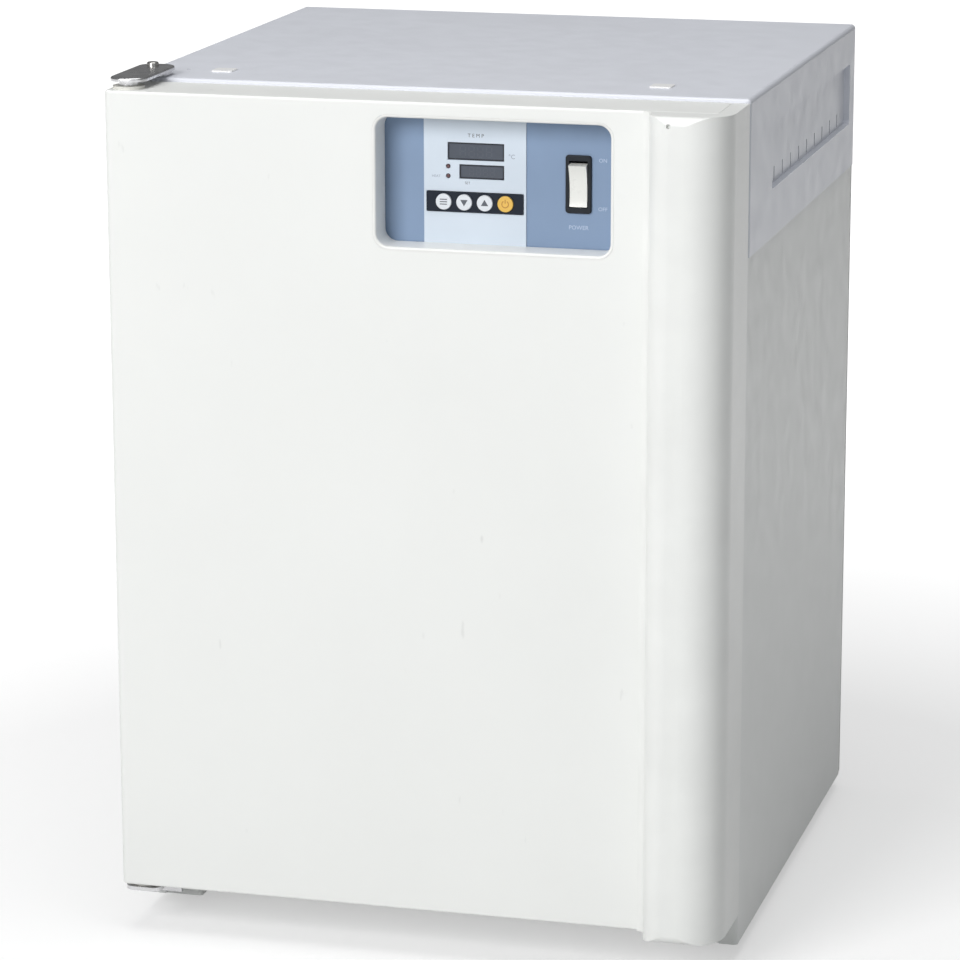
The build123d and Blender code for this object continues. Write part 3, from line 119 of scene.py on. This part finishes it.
def bumped(tree, shader, height, depth, strength=1.0):
    """Give the shader a bump of that depth in metres."""
    node = tree.nodes.new("ShaderNodeBump")
    node.inputs["Strength"].default_value = strength
    node.inputs["Distance"].default_value = depth
    tree.links.new(height, node.inputs["Height"])
    tree.links.new(node.outputs["Normal"], shader.inputs["Normal"])


def shaded(colour, factor):
    """Return a colour made lighter or darker by a factor."""
    return tuple(min(1.0, channel * factor) for channel in colour)


# Materials

def powder_coat(name, colour, roughness=0.42, scuffs=0.0):
    """Painted sheet: a faint orange peel, a faint unevenness of tone and, if asked, small pale scuffs."""
    material, tree, shader = new_material(name)
    here = coordinates(tree)
    tone = spread(tree, noise(tree, here, 7.0, 4.0), 0.0, 1.0)
    paint = blend_colours(tree, tone, shaded(colour, 0.985), shaded(colour, 1.01))
    if scuffs:
        slanted = coordinates(tree, (90.0, 90.0, 34.0))
        marks = spread(tree, noise(tree, slanted, 1.0, 2.0, 0.6), 0.0, scuffs, 0.72, 0.80)
        paint = blend_colours(tree, marks, paint, shaded(colour, 0.55))
    tree.links.new(paint, shader.inputs["Base Color"])
    rough = spread(tree, noise(tree, here, 60.0), roughness - 0.04, roughness + 0.04)
    tree.links.new(rough, shader.inputs["Roughness"])
    bumped(tree, shader, noise(tree, here, 900.0, 2.0), 0.03 * MM, 0.5)
    return material


def moulded(name, colour, roughness=0.45, grain=1800.0, depth=0.02, gloss=0.5):
    """Moulded plastic with a fine eroded texture."""
    material, tree, shader = new_material(name)
    shader.inputs["Specular IOR Level"].default_value = gloss
    here = coordinates(tree)
    tone = spread(tree, noise(tree, here, 25.0, 3.0), 0.0, 1.0)
    body = blend_colours(tree, tone, shaded(colour, 0.97), shaded(colour, 1.02))
    tree.links.new(body, shader.inputs["Base Color"])
    rough = spread(tree, noise(tree, here, 300.0), roughness - 0.05, roughness + 0.05)
    tree.links.new(rough, shader.inputs["Roughness"])
    bumped(tree, shader, noise(tree, here, grain, 2.0), depth * MM, 0.6)
    return material


def brushed(name, colour, along, roughness=0.32):
    """Sheet metal brushed along one axis, 0 for X, 1 for Y and 2 for Z."""
    material, tree, shader = new_material(name)
    stretch = [1.0 if axis == along else 60.0 for axis in range(3)]
    grain = noise(tree, coordinates(tree, stretch), 40.0, 6.0, 0.7)
    tone = spread(tree, grain, 0.0, 1.0)
    metal = blend_colours(tree, tone, shaded(colour, 0.86), shaded(colour, 1.06))
    tree.links.new(metal, shader.inputs["Base Color"])
    shader.inputs["Metallic"].default_value = 1.0
    rough = spread(tree, grain, roughness - 0.08, roughness + 0.12)
    tree.links.new(rough, shader.inputs["Roughness"])
    bumped(tree, shader, grain, 0.01 * MM, 0.4)
    return material


def plated(name, colour, roughness=0.16):
    """Bright plated metal with faint polishing marks and a little haze."""
    material, tree, shader = new_material(name)
    here = coordinates(tree)
    haze = noise(tree, here, 120.0, 4.0)
    metal = blend_colours(tree, spread(tree, haze, 0.0, 1.0), shaded(colour, 0.92), shaded(colour, 1.03))
    tree.links.new(metal, shader.inputs["Base Color"])
    shader.inputs["Metallic"].default_value = 1.0
    tree.links.new(spread(tree, haze, roughness, roughness + 0.12), shader.inputs["Roughness"])
    bumped(tree, shader, noise(tree, here, 700.0, 2.0), 0.01 * MM, 0.4)
    return material


def elastomer(name, colour, roughness=0.62):
    """Rubber or silicone with a dusty bloom."""
    material, tree, shader = new_material(name)
    here = coordinates(tree)
    bloom = spread(tree, noise(tree, here, 45.0, 5.0, 0.6), 0.0, 1.0, 0.35, 0.75)
    body = blend_colours(tree, bloom, colour, tuple(0.9 * channel + 0.04 for channel in colour))
    tree.links.new(body, shader.inputs["Base Color"])
    tree.links.new(spread(tree, bloom, roughness, roughness + 0.15, 0.0, 1.0), shader.inputs["Roughness"])
    bumped(tree, shader, noise(tree, here, 1200.0, 2.0), 0.03 * MM, 0.5)
    return material


def clear_glass(name, colour):
    """Flat clear glass with a very faint film on its surface."""
    material, tree, shader = new_material(name)
    here = coordinates(tree)
    film = spread(tree, noise(tree, here, 12.0, 5.0, 0.6), 0.0, 1.0, 0.45, 0.8)
    tree.links.new(blend_colours(tree, film, colour, shaded(colour, 0.97)), shader.inputs["Base Color"])
    tree.links.new(spread(tree, film, 0.01, 0.09, 0.0, 1.0), shader.inputs["Roughness"])
    shader.inputs["Transmission Weight"].default_value = 1.0
    shader.inputs["IOR"].default_value = 1.45
    return material


def printed_film(name, colour, roughness=0.34, gloss=0.5):
    """Printed plastic film with a fine emboss."""
    material, tree, shader = new_material(name)
    shader.inputs["Specular IOR Level"].default_value = gloss
    here = coordinates(tree)
    tone = spread(tree, noise(tree, here, 30.0, 3.0), 0.0, 1.0)
    film = blend_colours(tree, tone, shaded(colour, 0.98), shaded(colour, 1.02))
    tree.links.new(film, shader.inputs["Base Color"])
    rough = spread(tree, noise(tree, here, 200.0), roughness, roughness + 0.08)
    tree.links.new(rough, shader.inputs["Roughness"])
    bumped(tree, shader, noise(tree, here, 2500.0, 1.0), 0.01 * MM, 0.5)
    return material


def tinted_lens(name, colour):
    """Smoked display lens with a gloss surface."""
    material, tree, shader = new_material(name)
    here = coordinates(tree)
    tone = spread(tree, noise(tree, here, 90.0, 3.0), 0.0, 1.0)
    tree.links.new(blend_colours(tree, tone, colour, shaded(colour, 1.15)), shader.inputs["Base Color"])
    tree.links.new(spread(tree, tone, 0.14, 0.2, 0.0, 1.0), shader.inputs["Roughness"])
    bumped(tree, shader, noise(tree, here, 500.0, 1.0), 0.005 * MM, 0.3)
    return material


def glass_wool(name, colour):
    """Matted fibre in layers."""
    material, tree, shader = new_material(name)
    fibres = noise(tree, coordinates(tree, (3.0, 1.0, 12.0)), 120.0, 8.0, 0.75)
    tone = spread(tree, fibres, 0.0, 1.0)
    wool = blend_colours(tree, tone, shaded(colour, 0.6), shaded(colour, 1.15))
    tree.links.new(wool, shader.inputs["Base Color"])
    tree.links.new(spread(tree, fibres, 0.85, 1.0), shader.inputs["Roughness"])
    bumped(tree, shader, fibres, 1.0 * MM, 0.9)
    return material


def circuit_board(name, colour):
    """Solder resist with a pattern of paler tracks."""
    material, tree, shader = new_material(name)
    here = coordinates(tree)
    cells = tree.nodes.new("ShaderNodeTexVoronoi")
    cells.distance = "MANHATTAN"
    cells.inputs["Scale"].default_value = 220.0
    tree.links.new(here, cells.inputs["Vector"])
    tracks = spread(tree, cells.outputs["Distance"], 1.0, 0.0, 0.1, 0.35)
    tree.links.new(blend_colours(tree, tracks, colour, shaded(colour, 1.7)), shader.inputs["Base Color"])
    tree.links.new(spread(tree, tracks, 0.3, 0.45, 0.0, 1.0), shader.inputs["Roughness"])
    bumped(tree, shader, tracks, 0.04 * MM, 0.6)
    return material


WHITE = (0.86, 0.87, 0.85)
MATERIALS = {
    "case_white": powder_coat("case_white", (0.80, 0.815, 0.80)),
    # cover_grey is darker and cooler than the door's white as painted shade: it stands in for the dimmer,
    # cooler light that falls on the cover's top
    "cover_grey": powder_coat("cover_grey", (0.75, 0.77, 0.83), 0.38),
    "door_white": powder_coat("door_white", WHITE, 0.4, scuffs=0.35),
    "frame_white": powder_coat("frame_white", (0.80, 0.815, 0.80)),
    "pull_white": moulded("pull_white", WHITE, 0.36, 900.0, 0.012),
    "bezel_white": moulded("bezel_white", (0.88, 0.88, 0.86), 0.42),
    "plug_white": moulded("plug_white", (0.86, 0.86, 0.86), 0.4),
    "stainless": brushed("stainless", (0.62, 0.62, 0.60), 0),
    "wire_steel": plated("wire_steel", (0.70, 0.70, 0.69), 0.2),
    "hinge_chrome": plated("hinge_chrome", (0.66, 0.66, 0.67), 0.22),
    "screw_steel": plated("screw_steel", (0.52, 0.51, 0.49), 0.26),
    "galvanised": brushed("galvanised", (0.58, 0.60, 0.62), 1, 0.45),
    "insulation": glass_wool("insulation", (0.72, 0.62, 0.32)),
    "seal_grey": elastomer("seal_grey", (0.42, 0.43, 0.44)),
    "feet_black": elastomer("feet_black", (0.025, 0.025, 0.025)),
    "nylon": moulded("nylon", (0.78, 0.77, 0.72), 0.5),
    "glass_clear": clear_glass("glass_clear", (0.92, 0.965, 0.955)),
    "knob_black": moulded("knob_black", (0.03, 0.03, 0.032), 0.38),
    "magnet_dark": moulded("magnet_dark", (0.05, 0.05, 0.05), 0.6),
    "fascia_blue_grey": moulded("fascia_blue_grey", (0.235, 0.325, 0.475), 0.5, 2200.0, 0.03, 0.4),
    "overlay_pale": printed_film("overlay_pale", (0.66, 0.735, 0.82)),
    "display_dark": tinted_lens("display_dark", (0.052, 0.064, 0.088)),
    "band_dark": printed_film("band_dark", (0.012, 0.017, 0.028), 0.5, 0.2),
    "lamp_red": tinted_lens("lamp_red", (0.11, 0.05, 0.055)),
    "key_white": moulded("key_white", (0.76, 0.79, 0.83), 0.4),
    "key_orange": moulded("key_orange", (0.80, 0.50, 0.10), 0.4),
    "switch_black": moulded("switch_black", (0.010, 0.013, 0.018), 0.45, 1800.0, 0.02, 0.25),
    "rocker_white": moulded("rocker_white", (0.84, 0.84, 0.80), 0.3, 1200.0, 0.008),
    "board_green": circuit_board("board_green", (0.02, 0.16, 0.06)),
    "transformer_dark": brushed("transformer_dark", (0.16, 0.15, 0.14), 1, 0.5),
    "heater_dark": brushed("heater_dark", (0.26, 0.23, 0.21), 1, 0.5),
    "stopper_white": elastomer("stopper_white", (0.72, 0.72, 0.70)),
    "ink_grey": printed_film("ink_grey", (0.09, 0.10, 0.12)),
    "ink_faint": printed_film("ink_faint", (0.30, 0.34, 0.42)),
    "ink_orange": printed_film("ink_orange", (0.50, 0.22, 0.04)),
    "ink_white": printed_film("ink_white", (0.50, 0.58, 0.72)),
    "ink_black": printed_film("ink_black", (0.012, 0.014, 0.020), 0.4, 0.3),
    "segments_off": tinted_lens("segments_off", (0.060, 0.072, 0.095)),
}

# Each CAD node takes the material named like its slot in the record
for row in frame["record"]["subparts"]:
    mesh = NODES[row["node"]].data
    mesh.materials.clear()
    mesh.materials.append(MATERIALS[row["material_slot"]])


# Pieces made here

def finished(mesh, name, material, body):
    """Link a mesh as a piece that rides on a body and takes one of the materials made here."""
    piece = bpy.data.objects.new(name, mesh)
    bpy.context.scene.collection.objects.link(piece)
    mesh.materials.clear()
    mesh.materials.append(MATERIALS[material])
    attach(piece, body)


def prism(outlines, y_back, thickness):
    """Return a mesh of closed plates that stand forward of y_back, from outlines of (x, z) points."""
    shape = bmesh.new()
    for outline in outlines:
        back = [shape.verts.new((x, y_back, z)) for x, z in outline]
        front = [shape.verts.new((x, y_back - thickness, z)) for x, z in outline]
        shape.faces.new(back)
        shape.faces.new(list(reversed(front)))
        for i in range(len(outline)):
            j = (i + 1) % len(outline)
            shape.faces.new((back[j], back[i], front[i], front[j]))
    bmesh.ops.recalc_face_normals(shape, faces=shape.faces)
    mesh = bpy.data.meshes.new("prism")
    shape.to_mesh(mesh)
    shape.free()
    return mesh


def bar(x, z, width, height):
    """Return the outline of a rectangle."""
    half, up = width / 2, height / 2
    return [(x - half, z - up), (x + half, z - up), (x + half, z + up), (x - half, z + up)]


def ring_sector(x, z, radius, width, start, stop, steps=24):
    """Return the outline of part of a ring, with its angles in degrees."""
    turn = [math.radians(start + (stop - start) * i / steps) for i in range(steps + 1)]
    outer = [(x + radius * math.cos(t), z + radius * math.sin(t)) for t in turn]
    hollow = radius - width
    inner = [(x + hollow * math.cos(t), z + hollow * math.sin(t)) for t in reversed(turn)]
    return outer + inner


# How far a mark's back sits behind the face that carries it, and how high letters stand
MARK_SUNK = 0.01 * MM
LETTER_T = 0.03 * MM
CAPITAL_SHARE = 0.72
WELD = 0.001 * MM


def lettering(text, centre, height, y, name, material):
    """Add raised lettering on the cabinet that faces the front, centred on (x, z)."""
    curve = bpy.data.curves.new(name, "FONT")
    curve.body = text
    curve.size = height / CAPITAL_SHARE
    curve.extrude = LETTER_T
    curve.align_x = "CENTER"
    curve.align_y = "CENTER"
    curve.resolution_u = 3
    writer = bpy.data.objects.new(name, curve)
    bpy.context.scene.collection.objects.link(writer)
    mesh = bpy.data.meshes.new_from_object(writer)
    bpy.data.objects.remove(writer)
    bpy.data.curves.remove(curve)
    upright = Matrix.Rotation(math.radians(90), 4, "X")
    mesh.transform(Matrix.Translation((centre[0], y, centre[1])) @ upright)
    shape = bmesh.new()
    shape.from_mesh(mesh)
    bmesh.ops.remove_doubles(shape, verts=shape.verts, dist=WELD)
    shape.to_mesh(mesh)
    shape.free()
    finished(mesh, name, material, "cabinet")


def centre_of(node):
    """Return the middle of a node's box."""
    low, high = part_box(node)
    return (low + high) / 2


# Symbols on the keys

MARK_T = 0.05 * MM
MARK_STROKE = 0.6 * MM
MENU_BAR_W = 4.6 * MM
MENU_BAR_PITCH = 1.5 * MM
ARROW_REACH = 2.3 * MM
ARROW_BASE = 1.6 * MM
RING_R = 2.4 * MM
RING_START = 120
RING_STOP = 420
STEM_RISE = 1.7 * MM
STEM_H = 2.4 * MM


def menu_mark(x, z):
    """Return three short bars."""
    return [bar(x, z + i * MENU_BAR_PITCH, MENU_BAR_W, MARK_STROKE) for i in (-1, 0, 1)]


def arrow_mark(x, z, way):
    """Return a triangle that points up where way is 1 and down where it is -1."""
    base = z - way * ARROW_BASE
    return [[(x - ARROW_REACH, base), (x + ARROW_REACH, base), (x, z + way * ARROW_REACH)]]


def run_mark(x, z):
    """Return an open ring with a stem in its gap."""
    ring = ring_sector(x, z, RING_R, MARK_STROKE, RING_START, RING_STOP)
    return [ring, bar(x, z + STEM_RISE, MARK_STROKE, STEM_H)]


key_marks = (
    ("key_menu", "menu_key", menu_mark, "ink_grey"),
    ("key_down", "down_key", lambda x, z: arrow_mark(x, z, -1), "ink_grey"),
    ("key_up", "up_key", lambda x, z: arrow_mark(x, z, 1), "ink_grey"),
    ("key_run", "run_key", run_mark, "ink_orange"),
)
for key, body, mark, ink in key_marks:
    middle = centre_of(key)
    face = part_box(key)[0].y
    mesh = prism(mark(middle.x, middle.z), face + MARK_SUNK, MARK_T)
    finished(mesh, key + "_symbol", ink, body)

# Words beside and under the switch
STATE_WORD_H = 2.4 * MM
STATE_WORD_OUT = 7 * MM
STATE_WORD_RISE = 15 * MM
POWER_WORD_H = 2.6 * MM
POWER_WORD_DROP = 9 * MM
switch_low, switch_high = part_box("switch_body")
switch_middle = centre_of("switch_body")
fascia_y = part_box("control_fascia")[0].y
state_x = switch_high.x + STATE_WORD_OUT
fascia_words = (
    ("word_on", "ON", (state_x, switch_middle.z + STATE_WORD_RISE), STATE_WORD_H),
    ("word_off", "OFF", (state_x, switch_middle.z - STATE_WORD_RISE), STATE_WORD_H),
    ("word_power", "POWER", (switch_middle.x, switch_low.z - POWER_WORD_DROP), POWER_WORD_H),
)
for name, word, place, height in fascia_words:
    lettering(word, place, height, fascia_y, name, "ink_white")

# The unit beside the upper display, and words over it, under the lower one and beside the second lamp
UNIT_H = 2.8 * MM
UNIT_OUT = 5 * MM
UNIT_RISE = 3 * MM
HEADING_H = 2.3 * MM
HEADING_RISE = 4.6 * MM
SMALL_WORD_H = 1.6 * MM
SET_IN = 5 * MM
SET_DROP = 2.8 * MM
HEAT_OUT = 6.5 * MM
HEAT_RISE = 0.8 * MM
upper_low, upper_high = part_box("display_upper")
lower_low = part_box("display_lower")[0]
lamps_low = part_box("indicator_lamps")[0]
overlay_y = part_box("panel_overlay")[0].y
unit_at = (upper_high.x + UNIT_OUT, upper_low.z + UNIT_RISE)
heading_at = (centre_of("display_upper").x, upper_high.z + HEADING_RISE)
set_at = (lower_low.x + SET_IN, lower_low.z - SET_DROP)
heat_at = (lamps_low.x - HEAT_OUT, lamps_low.z + HEAT_RISE)
overlay_words = (
    ("word_unit", "°C", unit_at, UNIT_H, "ink_faint"),
    ("word_temp", "T E M P", heading_at, HEADING_H, "ink_grey"),
    ("word_set", "SET", set_at, SMALL_WORD_H, "ink_grey"),
    ("word_heat", "HEAT", heat_at, SMALL_WORD_H, "ink_faint"),
)
for name, word, place, height, ink in overlay_words:
    lettering(word, place, height, overlay_y, name, ink)


# Displays: the dark rim of each lens, and the unlit digits behind it

RIM_W = 0.8 * MM
RIM_T = 0.04 * MM
DIGIT_T = 0.03 * MM
DIGIT_COUNT = 4
DIGIT_ASPECT = 0.5
DIGIT_PITCH = 1.7
DIGIT_STROKE = 0.1


def digit_segments(x, z, width, height, stroke):
    """Return the seven segments of one digit as outlines."""
    half, quarter = width / 2, height / 4
    flat = width - 1.6 * stroke
    upright = height / 2 - 1.3 * stroke
    outlines = [bar(x, z + i * 2 * quarter, flat, stroke) for i in (-1, 0, 1)]
    for side in (-1, 1):
        for up in (-1, 1):
            outlines.append(bar(x + side * half, z + up * quarter, stroke, upright))
    return outlines


def rim(low, high, width):
    """Return the four sides of a rim just inside a box, as outlines."""
    left, bottom, right, top = low.x, low.z, high.x, high.z
    in_left, in_bottom, in_right, in_top = left + width, bottom + width, right - width, top - width
    return [
        [(left, in_top), (right, in_top), (right, top), (left, top)],
        [(left, bottom), (right, bottom), (right, in_bottom), (left, in_bottom)],
        [(left, in_bottom), (in_left, in_bottom), (in_left, in_top), (left, in_top)],
        [(in_right, in_bottom), (right, in_bottom), (right, in_top), (in_right, in_top)],
    ]


def digits(middle, height):
    """Return a row of digits of that height about a point, as outlines."""
    width = height * DIGIT_ASPECT
    first = (DIGIT_COUNT - 1) / 2
    outlines = []
    for i in range(DIGIT_COUNT):
        x = middle.x + (i - first) * width * DIGIT_PITCH
        outlines += digit_segments(x, middle.z, width, height, height * DIGIT_STROKE)
    return outlines


# Each display and its digits' share of its height
for display, share in (("display_upper", 0.62), ("display_lower", 0.6)):
    low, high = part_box(display)
    back = low.y + MARK_SUNK
    mesh = prism(rim(low, high, RIM_W), back, RIM_T)
    finished(mesh, display + "_rim", "ink_black", "cabinet")
    mesh = prism(digits(centre_of(display), (high.z - low.z) * share), back, DIGIT_T)
    finished(mesh, display + "_digits", "segments_off", "cabinet")


# Studio

FLOOR_SIZE = 14.0
FLOOR_DROP = 0.2 * MM
FLOOR_COLOUR = (0.62, 0.62, 0.62)

# How much the floor is lifted towards white near the object and away from it, and the radii between
NEAR_LIFT = 0.45
FAR_LIFT = 1.0
NEAR_EDGE = 0.45
FAR_EDGE = 1.3


def any_of(tree, sockets):
    """Return 1 where one of the light path sockets is 1."""
    result = sockets[0]
    for socket in sockets[1:]:
        node = tree.nodes.new("ShaderNodeMath")
        node.operation = "MAXIMUM"
        tree.links.new(result, node.inputs[0])
        tree.links.new(socket, node.inputs[1])
        result = node.outputs[0]
    return result


def studio_floor():
    """A matt pale floor that rays from the camera, mirrors and glass see as white away from the object."""
    material, tree, shader = new_material("floor_pale")
    here = coordinates(tree)
    tone = spread(tree, noise(tree, here, 3.0, 4.0), 0.0, 1.0)
    pale = blend_colours(tree, tone, shaded(FLOOR_COLOUR, 0.995), FLOOR_COLOUR)
    tree.links.new(pale, shader.inputs["Base Color"])
    shader.inputs["Roughness"].default_value = 0.9
    shader.inputs["Specular IOR Level"].default_value = 0.1
    distance = tree.nodes.new("ShaderNodeVectorMath")
    distance.operation = "LENGTH"
    tree.links.new(here, distance.inputs[0])
    away = spread(tree, distance.outputs["Value"], NEAR_LIFT, FAR_LIFT, NEAR_EDGE, FAR_EDGE)
    paths = tree.nodes.new("ShaderNodeLightPath")
    names = ("Is Camera Ray", "Is Glossy Ray", "Is Transmission Ray")
    lift = tree.nodes.new("ShaderNodeMath")
    lift.operation = "MULTIPLY"
    tree.links.new(any_of(tree, [paths.outputs[name] for name in names]), lift.inputs[0])
    tree.links.new(away, lift.inputs[1])
    shader.inputs["Emission Color"].default_value = (1.0, 1.0, 1.0, 1.0)
    tree.links.new(lift.outputs[0], shader.inputs["Emission Strength"])
    return material


floor_shape = bmesh.new()
bmesh.ops.create_grid(floor_shape, x_segments=8, y_segments=8, size=FLOOR_SIZE / 2)
floor_mesh = bpy.data.meshes.new("floor")
floor_shape.to_mesh(floor_mesh)
floor_shape.free()
floor_mesh.materials.append(studio_floor())
floor = bpy.data.objects.new("floor", floor_mesh)
floor.location.z = -FLOOR_DROP
bpy.context.scene.collection.objects.link(floor)

# World: a soft light on the object, and white for rays from the camera and through glass
AMBIENT = 0.18
AMBIENT_TINT = (0.98, 0.99, 1.0, 1.0)
world = bpy.data.worlds.new("studio")
world.use_nodes = True
bpy.context.scene.world = world
tree = world.node_tree
background = tree.nodes["Background"]
paths = tree.nodes.new("ShaderNodeLightPath")
level = tree.nodes.new("ShaderNodeMapRange")
level.inputs["To Min"].default_value = AMBIENT
level.inputs["To Max"].default_value = 1.0
seen = any_of(tree, [paths.outputs["Is Camera Ray"], paths.outputs["Is Transmission Ray"]])
tree.links.new(seen, level.inputs["Value"])
tree.links.new(level.outputs["Result"], background.inputs["Strength"])
background.inputs["Color"].default_value = AMBIENT_TINT


def lamp(name, place, aim, size, power, colour):
    """Add a square area lamp at a place, aimed at a point, with its side in metres and power in watts."""
    light = bpy.data.lights.new(name, "AREA")
    light.size = size
    light.energy = power
    light.color = colour
    holder = bpy.data.objects.new(name, light)
    holder.location = place
    holder.rotation_mode = "QUATERNION"
    holder.rotation_quaternion = (Vector(aim) - Vector(place)).to_track_quat("-Z", "Y")
    bpy.context.scene.collection.objects.link(holder)


AIM_SHARE = 0.55
NEUTRAL = (1.0, 1.0, 1.0)
COOL = (0.90, 0.97, 1.0)
low, high = cad_box
aim = (0.0, 0.0, (low.z + high.z) * AIM_SHARE)
lamp("key", (-0.95, -2.9, 1.75), aim, 1.5, 69.0, NEUTRAL)
lamp("right_fill", (2.0, -2.5, 1.3), aim, 1.4, 5.0, COOL)
lamp("top_fill", (0.1, -0.3, 3.0), aim, 2.0, 38.0, NEUTRAL)

# Camera, fitted to the photograph: its focal length in pixels, its place and its turns in degrees
FRAME_PX = 960
SENSOR_W = 36.0
CAMERA_PX = 4036.5
CAMERA_AT = (674.9 * MM, -2547.2 * MM, 914.5 * MM)
CAMERA_YAW = 15.1
CAMERA_PITCH = 13.8
CAMERA_ROLL = -0.1
camera_data = bpy.data.cameras.new("camera")
camera_data.sensor_width = SENSOR_W
camera_data.lens = CAMERA_PX / FRAME_PX * SENSOR_W
camera = bpy.data.objects.new("camera", camera_data)
camera.location = CAMERA_AT
turn = Matrix.Rotation(math.radians(CAMERA_YAW), 4, "Z")
tilt = Matrix.Rotation(math.radians(90 - CAMERA_PITCH), 4, "X")
roll = Matrix.Rotation(math.radians(CAMERA_ROLL), 4, "Z")
camera.rotation_euler = (turn @ tilt @ roll).to_euler()
bpy.context.scene.collection.objects.link(camera)
bpy.context.scene.camera = camera
bpy.context.scene.view_settings.view_transform = "Standard"
